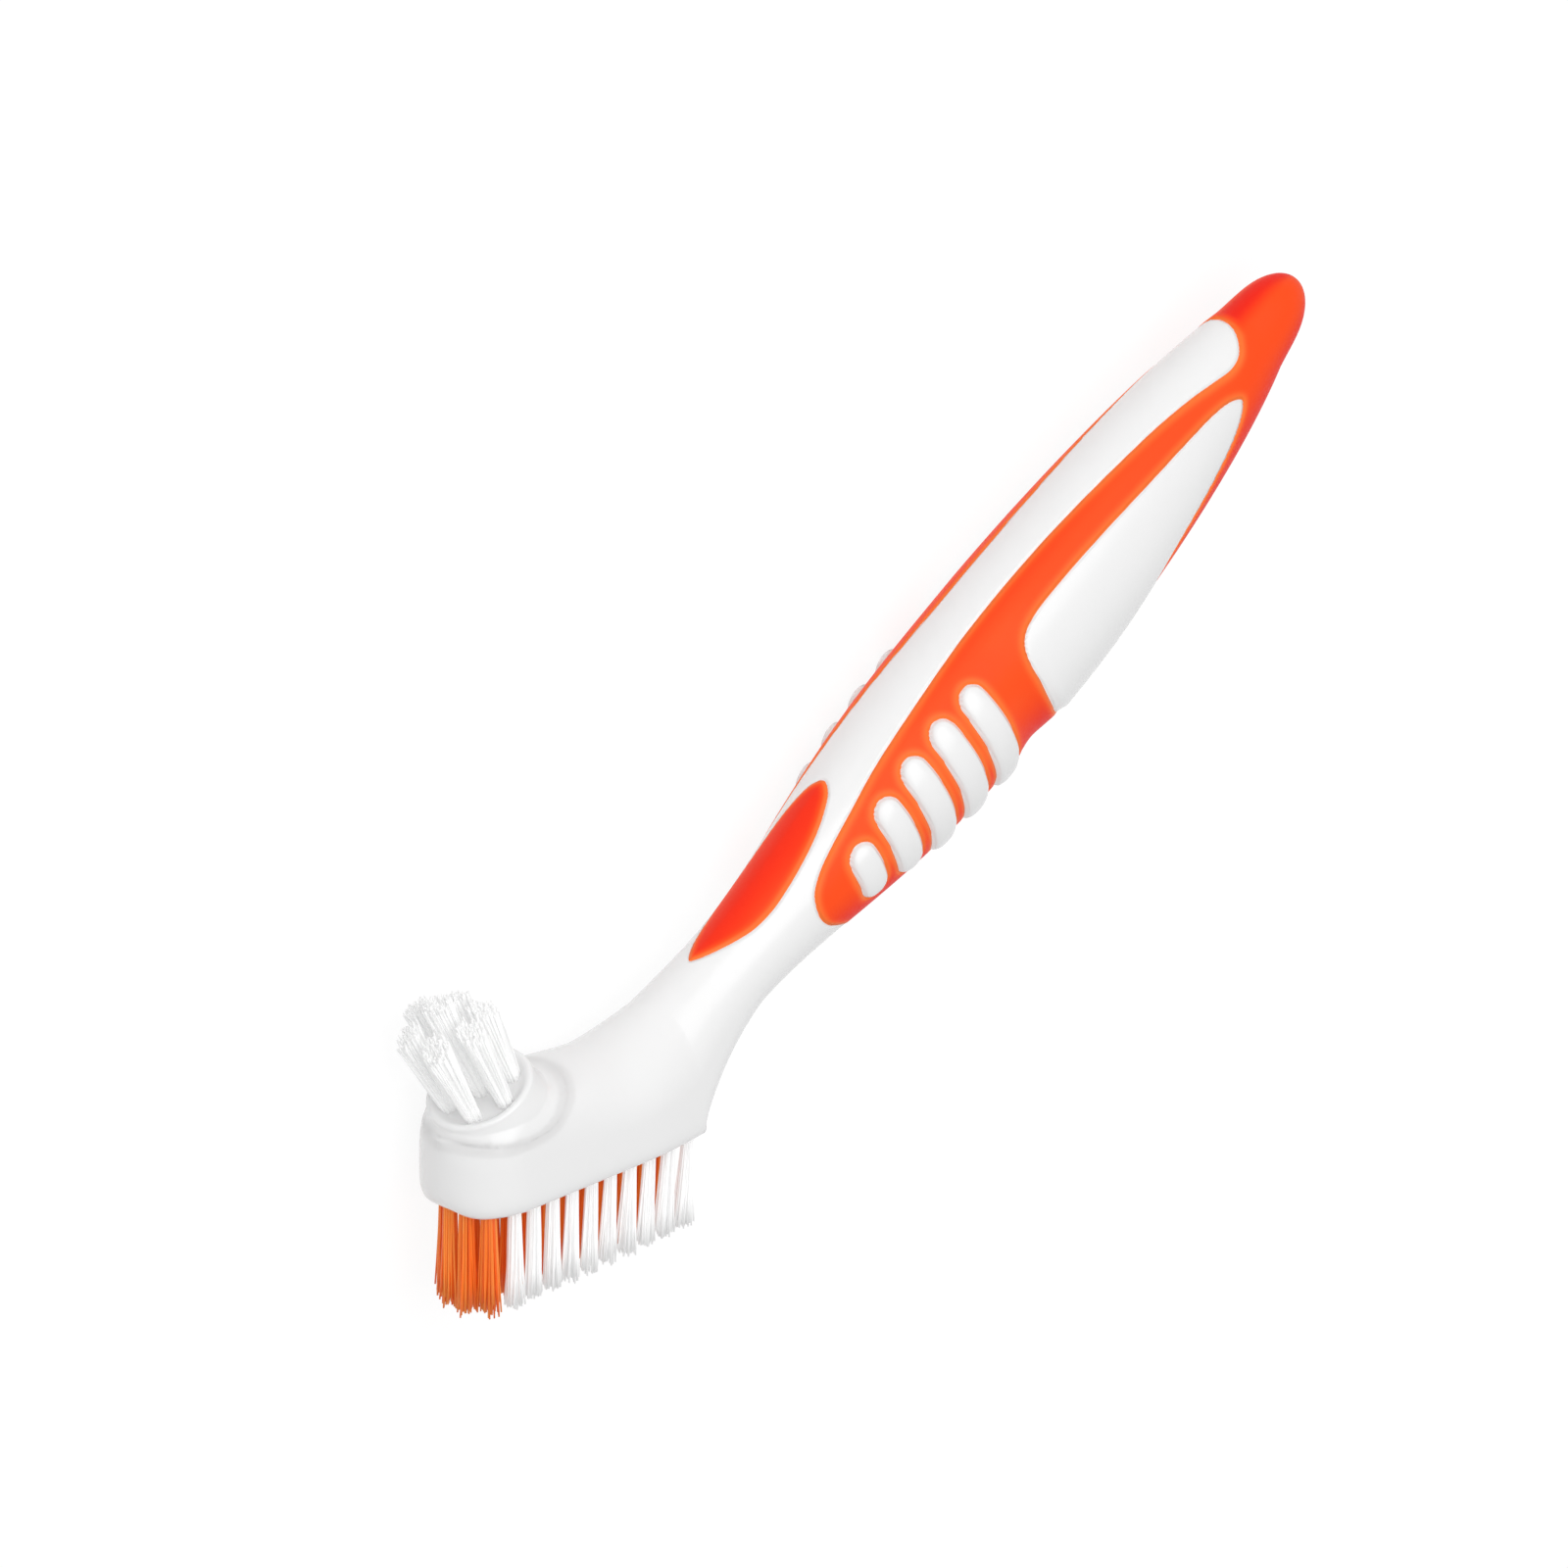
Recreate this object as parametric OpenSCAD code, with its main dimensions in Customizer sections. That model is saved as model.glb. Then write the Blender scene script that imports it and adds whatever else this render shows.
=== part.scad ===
/* [Body] */
// Length from the front of the brush head to the end of the handle
overall_len = 152; // [144:1:175]
// Angle at which the handle leaves the neck, above the line of the bristle face
neck_rise = 29.8; // [24:0.2:34]
// Angle at which the handle ends, above the line of the bristle face
handle_rise = 35.4; // [30:0.1:42]

/* [Brush head] */
// Width of the head at its fullest
head_w = 15; // [14.4:0.1:18]
// Length of the flat bristle face, from the front of the head to its rear corner
head_len = 36.7; // [36.7:0.2:44]
// Height of the head from the bristle face to the dip behind the small brush
saddle_h = 13.6; // [12:0.1:16]
// Radius of the lower edge round the front of the head
edge_r = 3.2; // [2:0.1:3.6]

/* [Seat of the small brush] */
// Diameter of the round seat
seat_d = 13; // [12.4:0.1:13.4]
// Height of the middle of the seat above the bristle face
seat_h = 14.2; // [13.4:0.1:15]
// How far the seat leans forward
seat_tilt = 28; // [20:1:32]
// Width of the raised rim round the seat
rim_w = 0.8; // [0.6:0.1:1]
// Depth of the seat's floor under its rim
seat_depth = 1; // [0.6:0.1:1.4]

/* [Neck] */
// Distance from the rear corner of the bristle face to the waist, along the head
neck_run = 9.2; // [8:0.1:14]
// Height of the middle of the waist above the bristle face
neck_h = 16.1; // [15:0.1:19]
// Thickness of the waist, seen from the side
waist_h = 11.2; // [10:0.1:13]
// Width of the waist, seen from above
waist_w = 10.5; // [9:0.1:12]

/* [Handle] */
// Thickness of the handle at its fullest, seen from the side
handle_h = 20.6; // [18:0.1:23]
// Width of the handle at its fullest, seen from above
handle_w = 17.5; // [16:0.1:20]
// Distance from the end of the handle to its fullest place
full_at = 54.5; // [48:0.5:60]

/* [Soft grip] */
// Thickness of the soft skin
skin_t = 1.2; // [0.8:0.1:1.5]
// Distance from the handle's end to the end of the bare top stripe
stripe_end = 9.7; // [8:0.1:11]
// Distance from the handle's end to the rear tip of the bare side panel
panel_tip = 16; // [15:0.5:19]
// Distance from the handle's end to the front edge of the bare side panel
panel_front = 58.2; // [54:0.2:60]
// Distance from the handle's end to the front of the grip, on the side
grip_front = 96.2; // [93:0.2:99]
// How far the front edge of the grip stands back under the handle
grip_back = 3.6; // [2.5:0.1:4.5]
// Distance from the handle's end to the rear tip of the thumb pad
pad_rear = 84; // [80:0.5:88]
// Length of the thumb pad
pad_len = 27.3; // [22:0.1:27.5]
// Thickness of the thumb pad
pad_t = 1; // [0.6:0.1:1.4]

/* [Finger ribs] */
// Number of ribs on each side
ribs = 5; // [3:1:5]
// Distance from the handle's end to the rearmost rib
rib_at = 66; // [64:0.1:68]
// Spacing of the ribs
rib_pitch = 5.5; // [5.2:0.05:5.6]
// Width of a rib
rib_w = 3.8; // [3:0.1:4]
// Height of a rib above the soft grip
rib_proud = 0.6; // [0.3:0.05:0.9]

/* [Bristles] */
// Tufts in each outer row
row_tufts = 10; // [8:1:10]
// Spacing of the tufts along a row
tuft_pitch = 3.05; // [2.7:0.01:3.1]
// Distance between the two outer rows
row_gap = 8; // [7.4:0.1:8.2]
// Distance between the two inner rows
inner_gap = 2.8; // [2.7:0.1:3.1]
// Diameter of a tuft where it leaves the face
tuft_d = 1.7; // [1.3:0.05:1.8]
// Diameter of a tuft at its free end
tuft_flare = 2.3; // [1.8:0.05:2.4]
// Length of the front tufts
tuft_front = 12.9; // [11:0.1:14]
// Length of the rearmost tufts
tuft_rear = 11.5; // [9:0.1:13]
// How far the rearmost tufts lean towards the front
tuft_lean = 6; // [0:0.5:8]
// Tufts on the ring of the small brush, round its middle one
tip_tufts = 6; // [5:1:6]
// Diameter of the ring on which they stand
tip_ring = 8; // [7.4:0.1:8.2]
// Diameter of a tuft of the small brush
tip_tuft_d = 2.1; // [1.6:0.05:2.3]
// Diameter of such a tuft at its free end
tip_flare = 3.2; // [2.6:0.05:3.3]
// Length of the middle tuft of the small brush
tip_len = 15.5; // [13:0.1:19]
// Clearance of a tuft in its hole
tuft_fit = 0.05; // [0.03:0.01:0.08]

/* [Anchors] */
// Depth of a tuft hole
hole_depth = 3.2; // [2.8:0.1:3.6]
// Height of the metal anchor at the bottom of the hole
anchor_h = 1.5; // [1:0.1:1.8]
// Thickness of the anchor
anchor_t = 0.35; // [0.25:0.05:0.45]

/* [Hidden] */
N_SIDE = row_tufts;
N_INNER = row_tufts;
N_FRONT = 4;

function two(k) = str(k < 9 ? "0" : "", k + 1);

SIDE_L = [for (k = [0:N_SIDE - 1]) str("side_tuft_left_", two(k))];
SIDE_R = [for (k = [0:N_SIDE - 1]) str("side_tuft_right_", two(k))];
INNER_L = [for (k = [0:N_INNER - 1]) str("inner_tuft_left_", two(k))];
INNER_R = [for (k = [0:N_INNER - 1]) str("inner_tuft_right_", two(k))];
FRONT = [for (k = [0:N_FRONT - 1]) str("front_tuft_", two(k))];
TIP = [for (k = [0:tip_tufts]) str("tip_tuft_", two(k))];

core_colour = "white";
soft_colour = "orangered";
nylon_colour = "whitesmoke";
metal_colour = "silver";

// General helpers
function mix(a, b, t) = a + (b - a) * t;
function ease(t) = (1 - cos(180 * t)) / 2;
function arc(x) = sqrt(max(0, 1 - x * x));
function dir(a) = [cos(a), sin(a)];
function bend(a, b, c, t) = mix(mix(a, b, t), mix(b, c, t), t);
function corner(p, pa, q, qa) =
    let (d = dir(pa), e = dir(qa), w = q - p) p + d * (w.x * e.y - w.y * e.x) / (d.x * e.y - d.y * e.x);

// Side view of the body. The first number runs along the bristle face from the middle of
// the head's round front end, the second is the height above the bristle face
head_r = head_w / 2;
face_end = head_len - head_r;
front_point = [-head_r, neck_h / 3];
waist = [face_end + neck_run, neck_h];
waist_across = dir(neck_rise + 90) * waist_h / 2;
mean_rise = (neck_rise + handle_rise) / 2;
reach = waist - front_point;
along = reach * dir(mean_rise);
handle_len = sqrt(along * along - reach * reach + overall_len * overall_len) - along;
handle_tip = waist + dir(mean_rise) * handle_len;
handle_bend = corner(waist, neck_rise, handle_tip, handle_rise);

function spine(d) = bend(handle_tip, handle_bend, waist, d / handle_len);
function spine_rise(d) =
    let (t = d / handle_len, v = mix(handle_tip - handle_bend, handle_bend - waist, t)) atan2(v.y, v.x);

// Fullness of the handle: 1 at its fullest, round at its end, slim at the waist
tail_power = 1.72;
waist_power = 1.54;
function tail(d) = sqrt(max(0, 1 - pow(max(0, full_at - d) / full_at, tail_power)));
function slim(d) = ease(pow(max(0, d - full_at) / (handle_len - full_at), waist_power));
function half_h(d, inset) = (mix(handle_h, waist_h, slim(d)) / 2 - inset) * tail(d);
function half_w(d, inset) = (mix(handle_w, waist_w, slim(d)) / 2 - inset) * tail(d);

// A ring of the body: top point, bottom point, share of the height under the widest line,
// half width, squareness above and below that line, flatness of the bottom
function handle_ring(d, inset) =
    let (at = d < full_at ? inset + d * (1 - inset / full_at) : d,
         up = dir(spine_rise(at) + 90) * half_h(d, inset), c = spine(at))
    [c + up, c - up, 0.5, half_w(d, inset), 2, 2, 1];

// Top and bottom lines of the neck between the dip in the head and the waist
saddle_at = 0.56;
saddle = [face_end * saddle_at, saddle_h];
waist_top = waist + waist_across;
waist_low = waist - waist_across;
neck_top_bend = corner(saddle, 0, waist_top, neck_rise);
low_rise = 57.5;
neck_low_bend = corner([face_end, 0], low_rise, waist_low, neck_rise);
turn_share = 0.6;

// Squareness of the head's section over and under its widest line, and its flatness below
head_top_n = 4;
neck_top_n = 2;
face_n = 7;
corner_n = 7.5;
face_flat = 1.02;
front_top_n = 2.8;
front_face_n = 3;
corner_fade = 0.27;

// Half width of the head and neck between a top and a bottom point: full up to the share
// narrow_at of the bristle face, then down to the waist
narrow_at = 0.63;
function side_w(top, low) =
    let (from = narrow_at * face_end, share = ((top.x + low.x) / 2 - from) / (waist.x - from))
    mix(head_r, waist_w / 2, ease(max(0, min(1, share))));

function neck_ring(t, inset) =
    let (top = bend(saddle, neck_top_bend, waist_top, mix(turn_share, 1, t)),
         low = bend([face_end, 0], neck_low_bend, waist_low, t), in = unit(top - low) * inset)
    [top - in, low + in, mix(0.46, 0.5, t), side_w(top, low) - inset,
     neck_top_n, mix(corner_n, 2, pow(t, corner_fade)), mix(face_flat, 1, t)];
function unit(v) = v / norm(v);

// The head over its bristle face, from the round front (q = 0) to its rear corner (q = 1)
function seat_line(l) = seat_h + (l + seat_back) * tan(seat_tilt);
seat_back = 1;
seat_sunk = 0.35;
function head_top(q) =
    let (l = q * face_end)
    l > saddle.x ? bend(saddle, neck_top_bend, waist_top, (q - saddle_at) / (1 - saddle_at) * turn_share)
                 : [l, min(seat_line(l) - seat_sunk, saddle_h)];
function head_ring(q) =
    let (top = head_top(q), low = [q * face_end, 0])
    [top, low, mix(0.4, 0.46, q), side_w(top, low),
     mix(head_top_n, neck_top_n, ease(min(1, q * 1.6))), mix(face_n, corner_n, q), face_flat];

// The round front end of the head, by the angle round it
function front_ring(b) =
    let (l = -head_r * cos(b), in = max(0, edge_r - head_r + head_r * cos(b)))
    [[l, seat_line(l) - seat_sunk - in * 0.25], [l, edge_r - sqrt(edge_r * edge_r - in * in)], 0.43,
     head_r * sin(b), mix(front_top_n, head_top_n, b / 90), mix(front_face_n, face_n, b / 90), face_flat];

// Rings of the body from the front of the head to the waist, and then along the handle.
// The last number of each is the distance from the handle's end
neck_mid = norm(waist - mix(neck_ring(0, 0)[0], neck_ring(0, 0)[1], 0.5));
HEAD_AT = concat([for (b = [9, 22, 38, 56, 75]) ["front", b]],
                 [for (q = [0:0.1:1.01]) ["head", min(1, q)]]);
NECK_AT = [0.12, 0.3, 0.5, 0.7, 0.87];
RIB_STEPS = [-1, -0.6, 0.6, 1];
NOSE_STEPS = [0.72, 0.47, 0.27, 0.12, 0.04];
PAD_STEPS = [0, 0.03, 0.11, 0.23, 0.4, 0.58, 0.76, 0.88, 0.96, 1];
// Length over which the stripe rounds out at its end
stripe_turn = stripe_end * 0.44;
PANEL_STEPS = [0, 0.02, 0.06, 0.13, 0.24, 0.4, 0.6, 0.8, 0.91, 0.965, 0.99, 1];
HANDLE_AT = concat([for (t = NECK_AT) handle_len + (1 - t) * neck_mid], [handle_len],
                   [for (x = PAD_STEPS) pad_rear + pad_len * x],
                   [for (x = [0, 0.14, 0.42, 1]) grip_front - grip_back * x],
                   [for (k = [0:ribs - 1], x = RIB_STEPS) rib_at + k * rib_pitch + x * rib_w / 2],
                   [for (x = PANEL_STEPS) mix(panel_tip, panel_front, x)],
                   [for (x = [0, 0.12, 0.35, 0.65, 1]) stripe_end + stripe_turn * x],
                   [for (x = NOSE_STEPS) stripe_end * x]);

// The same distances in order, without any that nearly repeats another
step_min = 0.2;
function rising(v) = len(v) < 2 ? v : let (p = v[floor(len(v) / 2)])
    concat(rising([for (x = v) if (x < p - step_min) x]), [p],
           rising([for (x = v) if (x > p + step_min) x]));
ALL_AT = rising(HANDLE_AT);
N_AT = len(ALL_AT);
N_HEAD = len(HEAD_AT);
N_RING = N_HEAD + N_AT;

function ring_d(i) = i < N_HEAD ? handle_len + neck_mid + N_HEAD - i : ALL_AT[N_RING - 1 - i];
function ring(i, inset) =
    i < N_HEAD ? (HEAD_AT[i][0] == "front" ? front_ring(HEAD_AT[i][1]) : head_ring(HEAD_AT[i][1]))
    : let (d = ring_d(i)) d > handle_len ? neck_ring(1 - (d - handle_len) / neck_mid, inset)
    : handle_ring(d, inset);

// Edges of the soft skin, as angles round the handle from the middle of its top.
// The first bounds the bare stripe along the top
stripe_tip = 16;
stripe_edge = 20.5;
stripe_wide = 53;
nose_at = 90;

// Least angle between two neighbouring edges, and lengths over which the edges part at the
// front of the grip
slit = 4;
nose_len = grip_back * 1.4;
nose_run = grip_back * 3.3;
free_stripe = 40;
free_upper = 66;
function line_stripe(d) =
    let (low = stripe_end + stripe_turn, mid = mix(low, grip_front, 0.46))
    d < stripe_end ? stripe_tip
    : d < low ? mix(stripe_tip, stripe_wide, arc((low - d) / stripe_turn))
    : d < mid ? mix(stripe_edge, stripe_wide, pow((mid - d) / (mid - low), 2.7))
    : d < grip_front ? mix(nose_at - slit, stripe_edge, arc(pow((d - mid) / (grip_front - mid), 1.25)))
    : mix(nose_at - slit, free_stripe, min(1, (d - grip_front) / nose_run));

// Rib that the distance d lies in or next to, and how far from its middle, in half widths
function rib_near(d) = max(0, min(ribs - 1, round((d - rib_at) / rib_pitch)));
function rib_off(d) = (d - rib_at - rib_near(d) * rib_pitch) / rib_w * 2;
function rib_end(d) = rib_turn * pow(min(1, abs(rib_off(d))), 4);
function rib_share(d, from, span) = ease(max(0, min(1, ((d - rib_at) / rib_pitch - from) / span)));
function rib_top(d) = mix(RIB_TOP[0], RIB_TOP[1], rib_share(d, 2.2, 1.6));
function rib_low(d) = mix(RIB_LOW[0], RIB_LOW[1], rib_share(d, 1.8, 2));
rib_turn = 9;
RIB_TOP = [45, 61];
RIB_LOW = [145, 118];

// The next two bound the bare side panel, the ribs and the middle of the grip's front edge
panel_mid = 86;
panel_high = 38;
PANEL_DROP = [47, 26];
PANEL_FREE = [62, 118];
GRIP_UNDER = [135, 124];
function panel_share(d) = (d - panel_tip) / (panel_front - panel_tip);
function line_upper(d) =
    let (x = panel_share(d), nose = min(1, max(0, 1 - (grip_front - d) / nose_len)))
    x < 0 ? mix(panel_mid - slit, PANEL_FREE[0], min(1, -x * 4))
    : x < 1 ? panel_mid - max(slit, panel_high * pow(x, 0.25) * arc(pow(x, 10)))
    : d < grip_front ? mix(rib_top(d) + rib_end(d), nose_at - 2, nose * nose)
    : mix(nose_at - 2, free_upper, min(1, (d - grip_front) / nose_run));
function panel_low(x) = (PANEL_DROP[0] * pow(x, 0.41) + PANEL_DROP[1] * x * x) * arc(pow(x, 15));
function line_lower(d) =
    let (x = panel_share(d), v = (grip_front - d) / grip_back)
    x < 0 ? mix(panel_mid + slit, PANEL_FREE[1], min(1, -x * 4))
    : x < 1 ? panel_mid + max(slit, panel_low(x))
    : v > 1 ? rib_low(d) - rib_end(d)
    : v > 0 ? mix(nose_at + slit, GRIP_UNDER[0], pow(v, 0.6))
    : mix(nose_at + slit, GRIP_UNDER[1], min(1, -v / 3));

// The last bounds the thumb pad
pad_wide = 41;
pad_free = 18;
pad_full = 0.586;
function pad_swell(x) = sqrt(1 - pow(1 - x, 1.2));
function line_pad(d) =
    let (x = (d - pad_rear) / pad_len)
    x < 0 ? mix(slit, line_stripe(d) / 2, min(1, -x * 3))
    : x < pad_full ? max(slit, min(line_stripe(d) - slit, pad_wide * pad_swell(x / pad_full)))
    : x < 1 ? max(slit, pad_wide * (1 - pow((x - pad_full) / (1 - pad_full), 1.8)))
    : mix(slit, pad_free, min(1, (x - 1) * 3));

// Stretches between those edges round half a ring, and the steps in each
STEPS = [2, 2, 2, 5, 3];
function edges(d) = [0, line_pad(d), line_stripe(d), line_upper(d), line_lower(d), 180];
ZONES = [for (s = [0:len(STEPS) - 1], k = [0:STEPS[s] - 1]) s];
FIRST = [for (k = [0:len(ZONES) - 1]) ZONES[k] != (k > 0 ? ZONES[k - 1] : -1)];
HALF = len(ZONES);
COLS = 2 * HALF;
function half_angles(e) =
    [for (s = [0:len(STEPS) - 1], k = [0:STEPS[s] - 1]) mix(e[s], e[s + 1], k / STEPS[s])];
function angles(d) =
    let (h = half_angles(edges(d))) concat(h, [180], [for (k = [HALF - 1:-1:1]) 360 - h[k]]);
function zone(j) = let (k = (j + COLS) % COLS) k < HALF ? ZONES[k] : ZONES[COLS - 1 - k];

// What covers the cell between rings i and i + 1 in column j: 0 bare, 1 soft grip, 2 thumb pad
function cover(i, j) =
    let (d = (ring_d(i) + ring_d(i + 1)) / 2, z = zone(j))
    i < N_HEAD || i > N_RING - 2 ? 0
    : z == 0 ? (d < stripe_end ? 1 : d > pad_rear && d < pad_rear + pad_len ? 2 : 0)
    : z == 1 ? (d < stripe_end ? 1 : 0)
    : z == 2 ? (d < grip_front ? 1 : 0)
    : z == 3 ? (in_panel(d) || in_rib(d) || d > grip_front ? 0 : 1)
    : (d < grip_front - grip_back ? 1 : 0);
function in_panel(d) = d > panel_tip && d < panel_front;
function in_rib(d) = d > panel_front && abs(rib_off(d)) < 1;

// How far a corner of the grid is lifted: only inside a rib
function lifted(d, j) =
    let (k = j <= HALF ? j : COLS - j, z = ZONES[min(k, HALF - 1)])
    z == 3 && !FIRST[k] && d > panel_front && abs(rib_off(d)) < 0.99 ? rib_proud : 0;

// Point of the body on ring r at angle a
function ring_point(r, a) =
    let (h = r[0] - r[1], c = r[1] + h * r[2], x = cos(a), y = sin(a), n = x >= 0 ? r[4] : r[5],
         k = pow(abs(x), 2 / n), p = c + h * (x >= 0 ? (1 - r[2]) * k : -r[2] * min(1, r[6] * k)))
    [p.x, p.y, sign(y) * pow(abs(y), 2 / n) * r[3]];

// The grid of points on the outside, on the core under the grip, and on the core under the pad
function outer_ring(i) =
    let (d = ring_d(i), a = angles(d), r = ring(i, 0), high = ring(i, -rib_proud))
    [for (j = [0:COLS - 1]) ring_point(lifted(d, j) > 0 ? high : r, a[j])];
function inner_ring(i, t) = let (r = ring(i, t)) [for (a = angles(ring_d(i))) ring_point(r, a)];
OUTER = [for (i = [0:N_RING - 1]) each outer_ring(i)];
GRIP_FLOOR = [for (i = [0:N_RING - 1]) each inner_ring(i, skin_t)];
PAD_FLOOR = [for (i = [0:N_RING - 1]) each inner_ring(i, pad_t)];
TIPS = [[-head_r, OUTER[0].y * 0.5 + OUTER[HALF].y * 0.5, 0],
        [each spine(0), 0], [each spine(skin_t), 0]];
POINTS = concat(OUTER, GRIP_FLOOR, PAD_FLOOR, TIPS);

// Corner of the grid on layer 0, the outside, 1, under the grip, or 2, under the pad
N_LAYER = N_RING * COLS;
function at(layer, i, j) = layer * N_LAYER + i * COLS + (j + COLS) % COLS;
function quad(a, b, c, d) = [[a, b, c], [a, c, d]];
function flip(f) = [for (t = f) [t[2], t[1], t[0]]];
function skin(layer, k) =
    [for (i = [0:N_RING - 2], j = [0:COLS - 1]) if (cover(i, j) == k)
        each quad(at(layer, i, j), at(layer, i + 1, j), at(layer, i + 1, j + 1), at(layer, i, j + 1))];
function wall_along(k, i, j) = quad(at(0, i, j), at(0, i + 1, j), at(k, i + 1, j), at(k, i, j));
function wall_across(k, i, j) = quad(at(0, i, j + 1), at(0, i, j), at(k, i, j), at(k, i, j + 1));

// Walls of the recess for cover k, facing into the recess
function walls(k) =
    [for (i = [0:N_RING - 2], j = [0:COLS - 1]) if (cover(i, j) == k)
        each concat(cover(i, j - 1) != k ? wall_along(k, i, j) : [],
                    cover(i, j + 1) != k ? flip(wall_along(k, i, j + 1)) : [],
                    i == 0 || cover(i - 1, j) != k ? wall_across(k, i, j) : [],
                    i < N_RING - 2 && cover(i + 1, j) != k ? flip(wall_across(k, i + 1, j)) : [])];
function end_cap(layer, tip) =
    [for (j = [0:COLS - 1]) [at(layer, N_RING - 1, j + 1), at(layer, N_RING - 1, j), 3 * N_LAYER + tip]];
function front_cap() = [for (j = [0:COLS - 1]) [at(0, 0, j), at(0, 0, j + 1), 3 * N_LAYER]];

module core_body()
    polyhedron(POINTS, concat(front_cap(), skin(0, 0), skin(1, 1), skin(2, 2), walls(1), walls(2),
                              end_cap(1, 2)));
module grip_body()
    polyhedron(POINTS, concat(skin(0, 1), flip(skin(1, 1)), flip(walls(1)), end_cap(0, 1),
                              flip(end_cap(1, 2))));
module pad_body()
    polyhedron(POINTS, concat(skin(0, 2), flip(skin(2, 2)), flip(walls(2))));

// The seat of the small brush, turned from the middle of its rim
lip = rim_w / 4;
seat_r = seat_d / 2;
seat_root = seat_d * 0.46;
seat_open = seat_depth * 5;
module at_seat()
    translate([-seat_back, seat_h, 0]) rotate([0, 0, seat_tilt]) rotate([-90, 0, 0]) children();
module seat()
    at_seat() rotate_extrude($fn = 48) polygon([
        [0, -seat_root], [seat_r, -seat_root], [seat_r, -lip], [seat_r - lip, 0],
        [seat_r - rim_w + lip, 0], [seat_r - rim_w, -lip], [seat_r - rim_w, -seat_depth],
        [0, -seat_depth]]);
module seat_room()
    at_seat() translate([0, 0, -seat_depth]) cylinder(h = seat_open, r = seat_r - rim_w, $fn = 48);

// Places of the tufts: distance along the face, distance to the side
first_l = face_end - tuft_pitch * 0.3 - (row_tufts - 1) * tuft_pitch;
front_arc = row_gap * 0.55;
front_step = tuft_pitch * 0.28;
FRONT_TURN = [-52, -18, 18, 52];
function side_place(k, side) = [first_l + k * tuft_pitch, side * row_gap / 2];
function inner_place(k, side) = [first_l + (k - 0.5) * tuft_pitch, side * inner_gap / 2];
function front_place(k) =
    [first_l - front_step - front_arc * cos(FRONT_TURN[k]), front_arc * sin(FRONT_TURN[k])];
FACE_PLACES = concat([for (k = [0:N_SIDE - 1], s = [-1, 1]) side_place(k, s)],
                     [for (k = [0:N_INNER - 1], s = [-1, 1]) inner_place(k, s)],
                     [for (k = [0:N_FRONT - 1]) front_place(k)]);
function tuft_len(p) = mix(tuft_front, tuft_rear, max(0, p.x) / face_end);

// A tuft stands on its anchor, which stands on the floor of its hole
function lean_at(p) = tuft_lean * max(0, p.x) / face_end;
module on_face(p) translate([p.x, 0, p.y]) rotate([90, 0, 0]) rotate([0, -lean_at(p), 0]) children();
module tuft_at(d, wide, length)
    translate([0, 0, anchor_h - hole_depth])
    cylinder(h = length + hole_depth - anchor_h, d1 = d, d2 = wide, $fn = 16);
module hole_at(d, room)
    translate([0, 0, -hole_depth]) cylinder(h = hole_depth + room, d = d + 2 * tuft_fit, $fn = 16);
module anchor_at(d)
    translate([-anchor_t / 2, -anchor_share * d / 2, -hole_depth])
    cube([anchor_t, anchor_share * d, anchor_h]);
anchor_share = 0.9;
face_room = 1;

// Tufts of the small brush: number 0 is the middle one, the others stand round it
tip_first = 30;
tip_side = 0.84;
tip_drop = 0.09;
tip_lean = 2.5;
function tip_turn(k) = tip_first + (k - 1) * 360 / tip_tufts;
function tip_tuft_len(k) = tip_len * (k == 0 ? 1 : tip_side - tip_drop * max(0, cos(tip_turn(k))));
module on_seat(k)
    at_seat() rotate([0, 0, -tip_turn(k)]) translate([k == 0 ? 0 : tip_ring / 2, 0, -seat_depth])
    rotate([0, k == 0 ? 0 : tip_lean, 0]) children();

// The origin: under the middle of the brush as it lies on its side
ALL_X = [for (p = OUTER) p.x];
ALL_Y = [for (p = OUTER) p.y];
ALL_Z = [for (p = OUTER) p.z];
function tip_end(k) =
    let (n = tip_tuft_len(k), out = k == 0 ? 0 : tip_ring / 2 + n * sin(tip_lean))
    -seat_back + out * cos(tip_turn(k)) * cos(seat_tilt)
    - (n * cos(tip_lean) - seat_depth) * sin(seat_tilt);
x_low = min([for (k = [0:tip_tufts]) tip_end(k)]) - tip_flare / 2 * cos(seat_tilt + tip_lean);
x_mid = (min(x_low, min(ALL_X)) + max(ALL_X)) / 2;
y_mid = (max(ALL_Y) - tuft_front) / 2;
module body_frame() translate([-x_mid, -y_mid, -min(ALL_Z)]) children();

module handle_core()
    color(core_colour) body_frame() difference() {
        union() {
            core_body();
            seat();
        }
        seat_room();
        for (p = FACE_PLACES) on_face(p) hole_at(tuft_d, face_room);
        for (k = [0:tip_tufts]) on_seat(k) hole_at(tip_tuft_d, face_room);
    }
module grip_overmould() color(soft_colour) body_frame() grip_body();
module thumb_pad() color(soft_colour) body_frame() pad_body();
module face_tuft(p) body_frame() on_face(p) tuft_at(tuft_d, tuft_flare, tuft_len(p));
module side_tuft(k, side) color(nylon_colour) face_tuft(side_place(k, side));
module inner_tuft(k, side) color(soft_colour) face_tuft(inner_place(k, side));
module front_tuft(k) color(soft_colour) face_tuft(front_place(k));
module tip_tuft(k)
    color(nylon_colour) body_frame() on_seat(k) tuft_at(tip_tuft_d, tip_flare, tip_tuft_len(k));
module brush_anchors()
    color(metal_colour) body_frame() for (p = FACE_PLACES) on_face(p) anchor_at(tuft_d);
module tip_anchors()
    color(metal_colour) body_frame() for (k = [0:tip_tufts]) on_seat(k) anchor_at(tip_tuft_d);

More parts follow.
